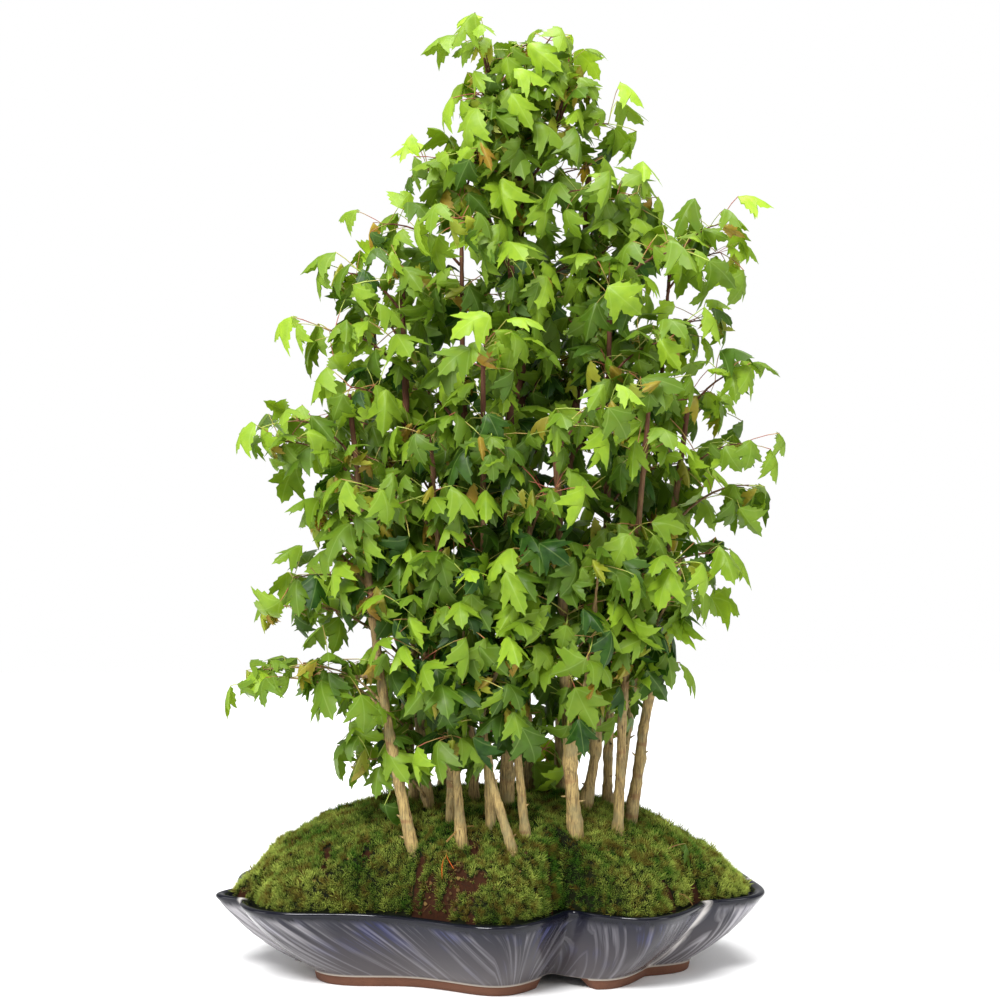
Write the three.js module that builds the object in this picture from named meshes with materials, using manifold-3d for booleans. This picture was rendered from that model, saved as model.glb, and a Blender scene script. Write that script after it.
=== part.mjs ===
// A forest planting of nineteen young trident maples on a mossy mound, in a shallow tray with
// scalloped walls and clay feet. Millimetres, +Z up, +X to the right of the front, +Y to the back.
import * as THREE from 'three';
import { mergeVertices } from 'three/addons/utils/BufferGeometryUtils.js';
import Module from 'manifold-3d';

const wasm = await Module();
wasm.setup();

// ---------------------------------------------------------------- driving dimensions

const GAP = 0.35; // clearance left between neighbouring solids

// Tray: where the wall is pinched in, counter-clockwise from the deep front crease, and how far the
// lobe that follows each crease swells out. A skew above 1 moves the swelling towards the next one.
const LOBES = [
  { x: 49, y: -66, swell: 38, skew: 0.95 },
  { x: 147, y: -38, swell: 25, skew: 1 },
  { x: 186, y: 34, swell: 28, skew: 1 },
  { x: 105, y: 100, swell: 32, skew: 1 },
  { x: 0, y: 96, swell: 30, skew: 1 },
  { x: -110, y: 98, swell: 38, skew: 1.3 },
  { x: -190, y: 8, swell: 18, skew: 1 },
  { x: -184, y: -30, swell: 27, skew: 0.65 },
  { x: -92, y: -76, swell: 46, skew: 1.45 },
];
const WALL_STEPS = 8; // facets to a lobe of the tray
const FILL_STEPS = 4; // and to a lobe of what fills it
const FOOT_SCALE = 0.73; // plan of the foot ring as a share of the plan of the rim
const RIM_Z = 58;
const FLOOR_Z = 15;
const RECESS_Z = 9;

// Arches cut through the foot ring leave four feet. Angles in degrees from +X.
const FOOT_ARCHES = [-53, 8, 92, 184];
const ARCH = { bottom: 34, top: 22, height: 8, inner: 30, outer: 175 };
const DRAIN_X = 70;
const DRAIN_RADIUS = 10;

// Drainage mesh over each hole, and the wire clip that holds it down.
const MESH = { side: 30, thickness: 1, pitch: 8, hole: 6, pocket: 5,
  pocketMiddle: 1.3 };
const CLIP = { wire: 0.7, leg: 8, foot: 17, corner: 1.2, steps: 18 };
const GRAVEL_TOP = 22;

// Mound: a flattened dome whose crown lies left of the middle and towards the back.
const MOUND = { x: -8, y: 12, halfLength: 188, halfWidth: 125, foot: 47, rise: 74 };
const MOUND_RINGS = [0.84, 0.65, 0.43, 0.18]; // shares of the plan at which the mound is faceted
const SOIL_EDGE_Z = 50; // height of the soil where it meets the tray
const MOSS_DEPTH = 5;
const ROOT_DEPTH = 16; // how far each trunk reaches down into the soil

// Trees: where each one leaves the ground, the top of its leader, its radius at the ground, and the
// tips of its side branches as [height share on the leader, x, y, z].
const TREES = [
  { base: [-61, -62], knee: [-80, -62, 195], top: [-106, -46, 420], radius: 4.4,
    sides: [[0.42, -128, -66, 226], [0.6, -122, -38, 322]] },
  { base: [-62, 0], knee: [-67, 0, 175], top: [-92, 22, 470], radius: 3.6,
    sides: [[0.5, -132, 32, 385]] },
  { base: [-50, -20], knee: [-58, -20, 180], top: [-70, -22, 505], radius: 4,
    sides: [[0.45, -90, -76, 350]] },
  { base: [-42, 52], knee: [-47, 56, 200], top: [-54, 70, 480], radius: 3.4,
    sides: [[0.5, -98, 74, 410]] },
  { base: [-36, -46], knee: [-35, -50, 180], top: [-48, -78, 390], radius: 3, sides: [] },
  { base: [-27, -64], knee: [-31, -65, 160], top: [-34, -66, 198], radius: 4.6, isStub: true,
    sides: [[0.86, -58, -80, 262], [0.93, -22, -84, 290]] },
  { base: [-18, -6], knee: [-23, -6, 190], top: [-28, 2, 555], radius: 3.6, sides: [] },
  { base: [-6, -52], knee: [-10, -54, 190], top: [-12, -78, 450], radius: 3.6, sides: [] },
  { base: [9, -69], knee: [-13, -69, 192], top: [2, -84, 240], radius: 3.8, sides: [] },
  { base: [18, -56], knee: [11, -58, 200], top: [22, -80, 345], radius: 3.4, sides: [] },
  { base: [6, -26], knee: [4, -26, 200], top: [8, -34, 510], radius: 5, sides: [] },
  { base: [21, 28], knee: [16, 24, 230], top: [14, 14, 617], radius: 6,
    sides: [[0.9, -12, 4, 660], [0.88, 50, 14, 632], [0.8, -32, 20, 582]] },
  { base: [54, -50], knee: [50, -58, 150], top: [38, -80, 395], radius: 5.4,
    sides: [[0.2, 68, -84, 300]] },
  { base: [45, 32], knee: [46, 32, 220], top: [64, 32, 575], radius: 5.2,
    sides: [[0.76, 102, 40, 555], [0.6, 26, 74, 500]] },
  { base: [61, -8], knee: [72, -9, 185], top: [78, -18, 490], radius: 3.8, sides: [] },
  { base: [78, 6], knee: [80, 10, 190], top: [96, 28, 450], radius: 3.6,
    sides: [] },
  { base: [84, -36], knee: [87, -38, 190], top: [104, -62, 420], radius: 3.8,
    sides: [[0.4, 126, -72, 300]] },
  { base: [94, -10], knee: [110, -10, 225], top: [134, -14, 410], radius: 4.4, sides: [] },
  { base: [86, 42], knee: [104, 48, 240], top: [124, 34, 515], radius: 3.2,
    sides: [[0.45, 128, 60, 345]] },
];
const TRUNK_SIDES = 7;
const TRUNK_STEPS = 7;
const TAPER_POWER = 0.8; // below 1, a limb thins fastest near its foot
const BRANCH = { radius: 1.7, tip: 1, sides: 6, steps: 3, middle: 0.55, sag: 0.06 };
const LEADER_TIP_SHARE = 0.42; // leader's radius at its top as a share of that at the ground

// Leafy shoots: each carries on from a branch tip. Blades are three-lobed, on thin petioles.
const SHOOT = { length: 34, radius: 1, tip: 0.8, sides: 4, firstNode: 0.3, spacing: 0.5,
  nodes: 2, endLeaf: 0.97, onward: 2 };
const LEAF = { petiole: 13, blade: 37, halfWidth: 22, stalk: 0.6, thickness: 0.8, droop: 0.02,
  root: 0.3, overlap: 0.2 };
const LEAF_FOLD = 0.45; // fall of each half of the blade away from its midrib
const LOBE = { tip: 0.52, notch: 0.55, notchWidth: 0.42 }; // shares of the blade's length and width
// Rise of a leaf in radians and its size, at the first node, with the change to the next node.
const LEAF_POSE = { tilt: 0.15, tiltStep: -0.5, size: 0.95, sizeStep: 0.1, endTilt: 0.1 };
// A leaf that would cross another is turned and dipped by these radians and tried again.
const LEAF_TRY = { count: 10, turn: 0.28, dip: 0.05 };
const CROWN_X = 10; // shoots lean away from this line up the middle of the crown

// ---------------------------------------------------------------- materials and helpers

const material = (color, roughness, metalness = 0) =>
  new THREE.MeshStandardMaterial({ color, roughness, metalness });

const glazedClay = material('#3b4357', 0.22);
const plasticMesh = material('#23262a', 0.6);
const clipWire = material('#b9bcc0', 0.35, 1);
const pumiceGravel = material('#a8927a', 0.9);
const bonsaiSoil = material('#5a3d28', 0.95);
const moss = material('#5f7f24', 0.95);
const bark = material('#a5835c', 0.8);
const leafGreen = material('#4f8f25', 0.5);

function toSolid(geometry) {
  const bare = geometry.index ? geometry.clone() : geometry;
  bare.deleteAttribute('normal');
  bare.deleteAttribute('uv');
  const merged = mergeVertices(bare, 1e-4);
  return new wasm.Manifold(new wasm.Mesh({
    numProp: 3,
    vertProperties: new Float32Array(merged.getAttribute('position').array),
    triVerts: new Uint32Array(merged.index.array),
  }));
}

function toGeometry(solid) {
  const mesh = solid.getMesh();
  const geometry = new THREE.BufferGeometry();
  geometry.setAttribute('position', new THREE.BufferAttribute(mesh.vertProperties, 3));
  geometry.setIndex(new THREE.BufferAttribute(mesh.triVerts, 1));
  geometry.computeVertexNormals();
  return geometry;
}

const forest = new THREE.Group();
const placed = []; // solids that a later branch or leaf has to stay clear of

function addPart(name, solid, look) {
  const mesh = new THREE.Mesh(toGeometry(solid), look);
  mesh.name = name;
  forest.add(mesh);
  placed.push(solid);
}

function boxesMeet(a, b) {
  const reach = GAP * 2;
  return [0, 1, 2].every((k) => a.min[k] - reach < b.max[k] && b.min[k] - reach < a.max[k]);
}

function isClear(solid, others = placed) {
  const box = solid.boundingBox();
  return others.every((other) =>
    !boxesMeet(box, other.boundingBox()) || solid.minGap(other, GAP * 2) >= GAP);
}

const moved = (geometry, x, y, z) => geometry.clone().translate(x, y, z);

// ---------------------------------------------------------------- the tray's plan

// A point on the rim's outline; turn runs from 0 to 1 once round the tray.
function rimPoint(turn) {
  const along = (turn % 1) * LOBES.length;
  const index = Math.floor(along + 1e-9) % LOBES.length;
  const share = Math.max(0, along - index);
  const start = new THREE.Vector2(LOBES[index].x, LOBES[index].y);
  const next = LOBES[(index + 1) % LOBES.length];
  const chord = new THREE.Vector2(next.x, next.y).sub(start);
  const outward = new THREE.Vector2(chord.y, -chord.x).normalize();
  const swell = LOBES[index].swell * Math.sin(Math.PI * share ** LOBES[index].skew);
  return start.addScaledVector(chord, share).addScaledVector(outward, swell);
}

// A closed body of rings that follow the tray's plan. Each profile entry is [share, inset, z]: share
// is 0 on the foot ring's plan and 1 on the rim's, and inset draws the ring in by millimetres. An
// entry whose share is 'axis' closes the body, and a z given as a function is read at the point.
function trayBody(profile, steps) {
  const turns = LOBES.length * steps;
  const radii = profile.map(([share], row) => new THREE.Vector2(share === 'axis' ? 0 : 1, row));
  const body = new THREE.LatheGeometry(radii, turns);
  const place = body.getAttribute('position');
  for (let i = 0; i < place.count; i += 1) {
    const turn = Math.floor(i / profile.length) / turns;
    const [share, inset, height] = profile[i % profile.length];
    const rim = rimPoint(turn);
    const reach = rim.length();
    const radius = share === 'axis' ? 0 : reach * (FOOT_SCALE + (1 - FOOT_SCALE) * share) - inset;
    const x = rim.x / reach * radius;
    const y = rim.y / reach * radius;
    place.setXYZ(i, x, y, typeof height === 'function' ? height(x, y) : height);
  }
  return toSolid(body);
}

function mound(x, y) {
  const across = ((x - MOUND.x) / MOUND.halfLength) ** 2;
  const along = ((y - MOUND.y) / MOUND.halfWidth) ** 2;
  const fall = Math.max(0, 1 - (across + along) ** 1.3);
  return MOUND.foot + MOUND.rise * fall ** 0.85;
}

// ---------------------------------------------------------------- tray, mesh, clips, gravel

function cylinder(radius, bottom, top, x, y) {
  const round = new THREE.CylinderGeometry(radius, radius, top - bottom, 20);
  return toSolid(moved(round.rotateX(Math.PI / 2), x, y, (bottom + top) / 2));
}

function archCutter(degrees) {
  const opening = new THREE.Shape();
  opening.moveTo(-ARCH.bottom / 2, -1);
  opening.lineTo(ARCH.bottom / 2, -1);
  opening.lineTo(ARCH.top / 2, ARCH.height);
  opening.lineTo(-ARCH.top / 2, ARCH.height);
  const depth = ARCH.outer - ARCH.inner;
  const block = new THREE.ExtrudeGeometry(opening, { depth, bevelEnabled: false });
  block.rotateX(Math.PI / 2).translate(0, -ARCH.inner, 0);
  return toSolid(block.rotateZ(THREE.MathUtils.degToRad(degrees + 90)));
}

function makeTray() {
  let tray = trayBody([
    ['axis', 0, RECESS_Z],
    [0, 15, RECESS_Z],
    [0, 13, 0],
    [0, 3, 0],
    [0, 1, 9],
    [0.34, 0, 20],
    [0.7, 0, 36],
    [0.99, 0, 53],
    [1, -0.6, 55.5],
    [1, 1.2, RIM_Z],
    [1, 5.6, RIM_Z - 0.6],
    [0.93, 7.6, 50],
    [0.5, 7, 30],
    [0.12, 8, FLOOR_Z],
    ['axis', 0, FLOOR_Z],
  ], WALL_STEPS);
  for (const degrees of FOOT_ARCHES) tray = tray.subtract(archCutter(degrees));
  for (const side of [-1, 1]) {
    tray = tray.subtract(cylinder(DRAIN_RADIUS, 0, FLOOR_Z + 5, side * DRAIN_X, 0));
  }
  return tray;
}

function makeDrainMesh(x) {
  const z = FLOOR_Z + GAP + MESH.thickness / 2;
  const sheet = new THREE.BoxGeometry(MESH.side, MESH.side, MESH.thickness);
  const hole = new THREE.BoxGeometry(MESH.hole, MESH.hole, MESH.thickness * 3);
  let plate = toSolid(moved(sheet, x, 0, z));
  for (let column = -1; column <= 1; column += 1) {
    for (let row = -1; row <= 1; row += 1) {
      plate = plate.subtract(toSolid(moved(hole, x + column * MESH.pitch, row * MESH.pitch, z)));
    }
  }
  return plate;
}

function makeClip(x) {
  const top = FLOOR_Z + MESH.thickness + 2 * GAP + CLIP.wire;
  const under = RECESS_Z - GAP - CLIP.wire;
  const { foot, leg, corner, steps } = CLIP;
  const half = [[foot, under], [leg + corner, under], [leg, under + corner],
    [leg, top - corner], [leg - corner, top]];
  const route = [...half.map(([reach, z]) => new THREE.Vector3(-reach, 0, z)),
    ...half.reverse().map(([reach, z]) => new THREE.Vector3(reach, 0, z))];
  const path = new THREE.CatmullRomCurve3(route, false, 'catmullrom', 0.2);
  const section = new THREE.Shape().absarc(0, 0, CLIP.wire, 0, Math.PI * 2);
  const wire = new THREE.ExtrudeGeometry(section, { steps, extrudePath: path, curveSegments: 3 });
  return toSolid(wire.translate(x, 0, 0));
}

function makeGravel() {
  let gravel = trayBody([
    ['axis', 0, FLOOR_Z + GAP],
    [0.12, 10.6, FLOOR_Z + GAP],
    [0.28, 10.2, GRAVEL_TOP],
    ['axis', 0, GRAVEL_TOP],
  ], FILL_STEPS);
  const pocket = MESH.side + 2 * GAP;
  for (const side of [-1, 1]) {
    const block = new THREE.BoxGeometry(pocket, pocket, MESH.pocket);
    gravel = gravel.subtract(toSolid(moved(block, side * DRAIN_X, 0, FLOOR_Z + MESH.pocketMiddle)));
  }
  return gravel;
}

// ---------------------------------------------------------------- soil and moss

// Rings of the mound's surface, each at a share of the rim's plan and lifted clear of what is below.
function moundRings(lift, shares) {
  return shares.map((share) => [(share - FOOT_SCALE) / (1 - FOOT_SCALE), 0,
    (x, y) => mound(x, y) + lift]);
}

function makeSoil() {
  return trayBody([
    ['axis', 0, GRAVEL_TOP + GAP],
    [0.28, 10.2, GRAVEL_TOP + GAP],
    [0.5, 9.6, 30],
    [0.93, 10.2, SOIL_EDGE_Z],
    ...moundRings(0, MOUND_RINGS),
    ['axis', 0, mound],
  ], FILL_STEPS);
}

// The moss is a thicker mound from which the soil, lifted by the clearance, has been taken away.
function makeMoss() {
  const edge = SOIL_EDGE_Z + GAP;
  const whole = trayBody([
    ['axis', 0, edge],
    [0.94, 10.3, edge],
    [0.964, 10, edge + 3],
    ...moundRings(GAP + MOSS_DEPTH, [0.9, ...MOUND_RINGS]),
    ['axis', 0, (x, y) => mound(x, y) + GAP + MOSS_DEPTH],
  ], FILL_STEPS);
  const under = trayBody([
    ['axis', 0, GRAVEL_TOP],
    [0.93, 10.2, GRAVEL_TOP],
    [0.93, 10.2, edge],
    ...moundRings(GAP, MOUND_RINGS),
    ['axis', 0, (x, y) => mound(x, y) + GAP],
  ], FILL_STEPS);
  return whole.subtract(under);
}

// ---------------------------------------------------------------- trees

// A tapering round limb along a smooth path, closed at both ends.
function limb(points, baseRadius, tipRadius, sides, steps, grow = 0) {
  const path = new THREE.CatmullRomCurve3(points.map((point) => new THREE.Vector3(...point)));
  const frames = path.computeFrenetFrames(steps);
  const round = new THREE.CylinderGeometry(1, 1, 1, sides, steps);
  const place = round.getAttribute('position');
  for (let i = 0; i < place.count; i += 1) {
    const ring = Math.round((place.getY(i) + 0.5) * steps);
    const radius = THREE.MathUtils.lerp(baseRadius, tipRadius, (ring / steps) ** TAPER_POWER) + grow;
    const spot = path.getPointAt(ring / steps);
    spot.addScaledVector(frames.normals[ring], place.getX(i) * radius);
    spot.addScaledVector(frames.binormals[ring], -place.getZ(i) * radius);
    place.setXYZ(i, spot.x, spot.y, spot.z);
  }
  return toSolid(round);
}

function leaderPoints(tree) {
  const [x, y] = tree.base;
  const ground = mound(x, y);
  const [kneeX, kneeY, kneeZ] = tree.knee;
  const slope = (kneeZ - ground) / ROOT_DEPTH;
  const root = [x - (kneeX - x) / slope, y - (kneeY - y) / slope, ground - ROOT_DEPTH];
  return [root, [x, y, ground], tree.knee, tree.top];
}

function makeLeader(tree, grow = 0) {
  const tip = tree.radius * LEADER_TIP_SHARE;
  return limb(leaderPoints(tree), tree.radius, tip, TRUNK_SIDES, TRUNK_STEPS, grow);
}

// A side branch leaves the leader at a share of its height and bends upwards to its tip.
function branchPoints(tree, [share, x, y, z]) {
  const leader = new THREE.CatmullRomCurve3(
    leaderPoints(tree).map((point) => new THREE.Vector3(...point)));
  const start = leader.getPointAt(share);
  const tip = new THREE.Vector3(x, y, z);
  const middle = start.clone().lerp(tip, BRANCH.middle);
  middle.z -= start.distanceTo(tip) * BRANCH.sag;
  return [start.toArray(), middle.toArray(), tip.toArray()];
}

// Leaders, the side branches that stay clear of the other trees, and every tip that can bear leaves.
function growTrees() {
  const leaders = TREES.map((tree) => makeLeader(tree));
  const tips = [];
  const solids = [];
  TREES.forEach((tree, index) => {
    const others = [...solids, ...leaders.slice(index + 1)];
    let wood = leaders[index];
    const trunk = leaderPoints(tree);
    if (!tree.isStub) tips.push({ from: trunk[2], at: trunk[3] });
    for (const side of tree.sides) {
      const points = branchPoints(tree, side);
      const branch = limb(points, BRANCH.radius, BRANCH.tip, BRANCH.sides, BRANCH.steps);
      if (isClear(branch, others)) {
        wood = wood.add(branch);
        tips.push({ from: points[1], at: points[2] });
      }
    }
    solids.push(wood);
  });
  return { solids, tips };
}

// ---------------------------------------------------------------- leafy shoots

// A blade with three forward lobes on a thin stalk, drooping past the end of the stalk.
function leafGeometry(size) {
  const { petiole, stalk, droop } = LEAF;
  const [length, half] = [LEAF.blade * size, LEAF.halfWidth * size];
  const outline = new THREE.Shape();
  outline.moveTo(stalk, LEAF.root);
  outline.lineTo(stalk, petiole);
  outline.lineTo(half, petiole + length * LOBE.tip);
  outline.lineTo(half * LOBE.notchWidth, petiole + length * LOBE.notch);
  outline.lineTo(0, petiole + length);
  outline.lineTo(-half * LOBE.notchWidth, petiole + length * LOBE.notch);
  outline.lineTo(-half, petiole + length * LOBE.tip);
  outline.lineTo(-stalk, petiole);
  outline.lineTo(-stalk, LEAF.root);
  const leaf = new THREE.ExtrudeGeometry(outline, { depth: LEAF.thickness, bevelEnabled: false });
  const place = leaf.getAttribute('position');
  for (let i = 0; i < place.count; i += 1) {
    const past = Math.max(0, place.getY(i) - petiole);
    const sag = droop * past * past + LEAF_FOLD * Math.max(0, Math.abs(place.getX(i)) - stalk);
    place.setZ(i, place.getZ(i) - sag - LEAF.thickness / 2);
  }
  return leaf;
}

function aimedLeaf(root, heading, tilt, size) {
  const reach = new THREE.Vector3(Math.cos(heading) * Math.cos(tilt),
    Math.sin(heading) * Math.cos(tilt), Math.sin(tilt));
  const across = new THREE.Vector3().crossVectors(reach, THREE.Object3D.DEFAULT_UP).normalize();
  const above = new THREE.Vector3().crossVectors(across, reach);
  const frame = new THREE.Matrix4().makeBasis(across, reach, above).setPosition(root);
  return toSolid(leafGeometry(size).applyMatrix4(frame));
}

// Adds the first leaf of a few headings that clears everything, or none.
function addLeaf(leaves, root, heading, tilt, size) {
  for (let attempt = 0; attempt < LEAF_TRY.count; attempt += 1) {
    const turn = (attempt % 2 ? 1 : -1) * Math.ceil(attempt / 2) * LEAF_TRY.turn;
    const leaf = aimedLeaf(root, heading + turn, tilt - attempt * LEAF_TRY.dip, size);
    const crosses = leaves.some((other) => leaf.intersect(other).volume() > LEAF.overlap);
    if (!crosses && isClear(leaf)) {
      leaves.push(leaf);
      return;
    }
  }
}

function makeShoot(tip, index) {
  const at = new THREE.Vector3(...tip.at);
  const onward = at.clone().sub(new THREE.Vector3(...tip.from)).normalize();
  const outward = new THREE.Vector3(at.x - CROWN_X, at.y, 0).normalize();
  const heading = Math.atan2(outward.y, outward.x);
  const start = at.clone().addScaledVector(onward, GAP + SHOOT.radius / 2);
  const bent = onward.clone().multiplyScalar(SHOOT.onward).add(outward).normalize();
  const end = at.clone().addScaledVector(bent, SHOOT.length);
  const stem = limb([start.toArray(), end.toArray()], SHOOT.radius, SHOOT.tip, SHOOT.sides, 1);
  if (!isClear(stem)) return null;
  const leaves = [];
  for (let node = 0; node < SHOOT.nodes; node += 1) {
    const root = start.clone().lerp(end, SHOOT.firstNode + SHOOT.spacing * node);
    const turn = heading + node * Math.PI / 2 + index;
    const tilt = LEAF_POSE.tilt + LEAF_POSE.tiltStep * node;
    const size = LEAF_POSE.size + LEAF_POSE.sizeStep * node;
    for (const side of [0, Math.PI]) addLeaf(leaves, root, turn + side, tilt, size);
  }
  addLeaf(leaves, start.clone().lerp(end, SHOOT.endLeaf), heading, LEAF_POSE.endTilt, 1);
  return leaves.reduce((shoot, leaf) => shoot.add(leaf), stem);
}

// ---------------------------------------------------------------- assembly

THREE.Object3D.DEFAULT_UP.set(0, 0, 1);

addPart('pot', makeTray(), glazedClay);
for (const [side, x] of [['left', -DRAIN_X], ['right', DRAIN_X]]) {
  addPart(`drain_mesh_${side}`, makeDrainMesh(x), plasticMesh);
  addPart(`mesh_clip_${side}`, makeClip(x), clipWire);
}
addPart('drainage_gravel', makeGravel(), pumiceGravel);

const trees = growTrees();
let soil = makeSoil();
let mossCover = makeMoss();
for (const tree of TREES) {
  const socket = makeLeader(tree, GAP);
  soil = soil.subtract(socket);
  mossCover = mossCover.subtract(socket);
}
addPart('soil_mound', soil, bonsaiSoil);
addPart('moss_cover', mossCover, moss);

const label = (number) => String(number).padStart(2, '0');
trees.solids.forEach((wood, index) => addPart(`tree_${label(index + 1)}`, wood, bark));

let leafy = 0;
trees.tips.forEach((tip, index) => {
  const shoot = makeShoot(tip, index);
  if (!shoot) return;
  leafy += 1;
  addPart(`foliage_${label(leafy)}`, shoot, leafGreen);
});

// The whole is centred over the origin, with the feet standing on the ground plane.
const bounds = new THREE.Box3().setFromObject(forest);
const centre = bounds.getCenter(new THREE.Vector3());
forest.position.set(-centre.x, -centre.y, -bounds.min.z);

export default forest;
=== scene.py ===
# %% [markdown]
# # A forest of trident maples in a glazed tray
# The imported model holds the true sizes: a lobed tray, a mound of soil under moss,
# nineteen trunks and thirty-two groups of leafy shoots. This lesson gives each of
# them its looks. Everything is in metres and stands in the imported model's own frame,
# so no piece has to be fitted by eye.

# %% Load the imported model
import math
import random

import bmesh
import bpy
from mathutils import Matrix, Vector, kdtree, noise


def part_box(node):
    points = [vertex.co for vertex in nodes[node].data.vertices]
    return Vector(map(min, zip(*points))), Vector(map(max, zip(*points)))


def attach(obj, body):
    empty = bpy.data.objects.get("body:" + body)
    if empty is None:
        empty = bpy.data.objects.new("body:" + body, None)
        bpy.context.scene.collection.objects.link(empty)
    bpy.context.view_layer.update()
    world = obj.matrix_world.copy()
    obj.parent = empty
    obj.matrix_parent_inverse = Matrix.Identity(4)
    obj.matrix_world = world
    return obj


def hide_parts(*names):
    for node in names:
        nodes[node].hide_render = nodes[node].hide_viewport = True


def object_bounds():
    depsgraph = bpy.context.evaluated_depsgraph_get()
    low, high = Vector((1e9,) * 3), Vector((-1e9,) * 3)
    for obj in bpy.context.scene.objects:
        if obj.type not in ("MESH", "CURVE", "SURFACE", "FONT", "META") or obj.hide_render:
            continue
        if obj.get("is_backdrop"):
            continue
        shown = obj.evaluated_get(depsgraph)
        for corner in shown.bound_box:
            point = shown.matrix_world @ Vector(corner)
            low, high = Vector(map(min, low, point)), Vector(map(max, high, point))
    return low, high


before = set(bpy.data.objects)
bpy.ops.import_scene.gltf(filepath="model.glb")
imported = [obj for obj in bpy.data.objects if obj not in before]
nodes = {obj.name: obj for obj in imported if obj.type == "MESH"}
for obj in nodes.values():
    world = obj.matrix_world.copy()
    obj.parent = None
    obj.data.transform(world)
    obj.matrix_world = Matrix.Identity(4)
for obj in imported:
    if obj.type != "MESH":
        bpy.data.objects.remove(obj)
cad_low, cad_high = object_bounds()
MM = 0.001
print("nodes:", len(nodes), "size:", [round(v, 3) for v in cad_high - cad_low])

# %% [markdown]
# Small helpers come first. One turns a hex colour, as a paint chart gives it, into the
# linear numbers that a shader works in. One adds a shader node with its settings and
# links. One starts a material with a Principled surface, one lays a colour over another
# as glaze is laid over glaze, and one joins the colour and the gloss to the surface. The
# last ones make a finished mesh a piece that rides on the only body there is, the root.

# %% Helpers for colours, shader nodes and finished pieces
def linear(hexcode):
    """An sRGB hex colour as linear red, green, blue and alpha."""
    parts = [int(hexcode[i : i + 2], 16) / 255 for i in (1, 3, 5)]
    return [p / 12.92 if p <= 0.04045 else ((p + 0.055) / 1.055) ** 2.4 for p in parts] + [1.0]


def add(tree, kind, settings=None, links=None):
    """Adds one shader node. Settings are its options or its sockets' values."""
    node = tree.nodes.new("ShaderNode" + kind)
    for name, value in (settings or {}).items():
        if isinstance(name, str) and hasattr(node, name):
            setattr(node, name, value)
        else:
            node.inputs[name].default_value = value
    for socket, source in (links or {}).items():
        tree.links.new(source, node.inputs[socket])
    return node


def start_material(name, settings):
    """A new material with one Principled surface: the material, its tree, the surface."""
    material = bpy.data.materials.new(name)
    material.use_nodes = True
    tree = material.node_tree
    tree.nodes.clear()
    surface = add(tree, "BsdfPrincipled", settings)
    add(tree, "OutputMaterial", None, {"Surface": surface.outputs["BSDF"]})
    print("material:", name)
    return material, tree, surface


def layered(tree, tone, colour, where, low, high, most=1.0):
    """The tone with a colour laid over it. It comes in as a value goes from low to high."""
    share = add(
        tree, "MapRange", {"From Min": low, "From Max": high, "To Max": most}, {"Value": where}
    ).outputs["Result"]
    return add(
        tree, "Mix", {"data_type": "RGBA", 7: linear(colour)}, {0: share, 6: tone}
    ).outputs[2]


def colour_and_gloss(tree, surface, tone, value, smooth, rough):
    """Gives the surface its colour, and a roughness that follows a value from 0 to 1."""
    tree.links.new(tone, surface.inputs["Base Color"])
    roughness = add(tree, "MapRange", {"To Min": smooth, "To Max": rough}, {"Value": value})
    tree.links.new(roughness.outputs["Result"], surface.inputs["Roughness"])


def make_piece(name, mesh, stands_for, materials=()):
    """A mesh as a piece at the origin that rides on the root and replaces CAD nodes."""
    piece = bpy.data.objects.new(name, mesh)
    bpy.context.scene.collection.objects.link(piece)
    for material in materials:
        mesh.materials.append(material)
    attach(piece, "root")
    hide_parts(*stands_for)
    return piece


def triangles(mesh):
    """How many triangles a mesh comes to."""
    return sum(len(face.vertices) - 2 for face in mesh.polygons)


def smooth_shading(mesh, sharp_degrees):
    """Smooth faces, with edges kept crisp where they turn by more than the angle."""
    mesh.shade_smooth()
    mesh.set_sharp_from_angle(angle=math.radians(sharp_degrees))


# %% [markdown]
# ## The tray
# The tray is slip-cast or press-moulded stoneware: nine bulging lobes meet in creases,
# and the plan shrinks towards the feet. A potter would pull one profile round a
# mould. Here the profile is spun once round the axis with `bmesh.ops.spin`, and then
# each ring is moved out to the lobed plan. The spin keeps the mesh in neat quads, and
# the plan can be as wavy as it likes.

# %% The plan of the tray
# Each row is a crease: its place from the middle in mm, how far the next lobe swells
# past the straight line to the next crease, and its skew: over 1 it peaks late.
LOBES = [
    (49, -66, 38, 0.95),
    (147, -38, 25, 1.0),
    (186, 34, 28, 1.0),
    (105, 100, 32, 1.0),
    (0, 96, 30, 1.0),
    (-110, 98, 38, 1.3),
    (-190, 8, 18, 1.0),
    (-184, -30, 27, 0.65),
    (-92, -76, 46, 1.45),
]
STEPS_PER_LOBE = 40
PLAN_STEPS = len(LOBES) * STEPS_PER_LOBE


def plan_point(step):
    """A point of the tray's plan, in mm, with the creases still sharp."""
    lobe, share = divmod(step / STEPS_PER_LOBE, 1)
    x, y, swell, skew = LOBES[int(lobe) % len(LOBES)]
    end = Vector(LOBES[(int(lobe) + 1) % len(LOBES)][:2])
    chord = end - Vector((x, y))
    outward = Vector((chord.y, -chord.x)).normalized()
    bulge = math.sin(math.pi * share**skew)
    return Vector((x, y)) + chord * share + outward * swell * bulge


def rounded(points):
    """The closed line with its corners eased, as glaze and fettling ease a crease."""
    count = len(points)
    return [(points[i - 1] + points[i] * 2 + points[(i + 1) % count]) / 4 for i in range(count)]


plan = rounded(rounded([plan_point(step) for step in range(PLAN_STEPS)]))
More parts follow.
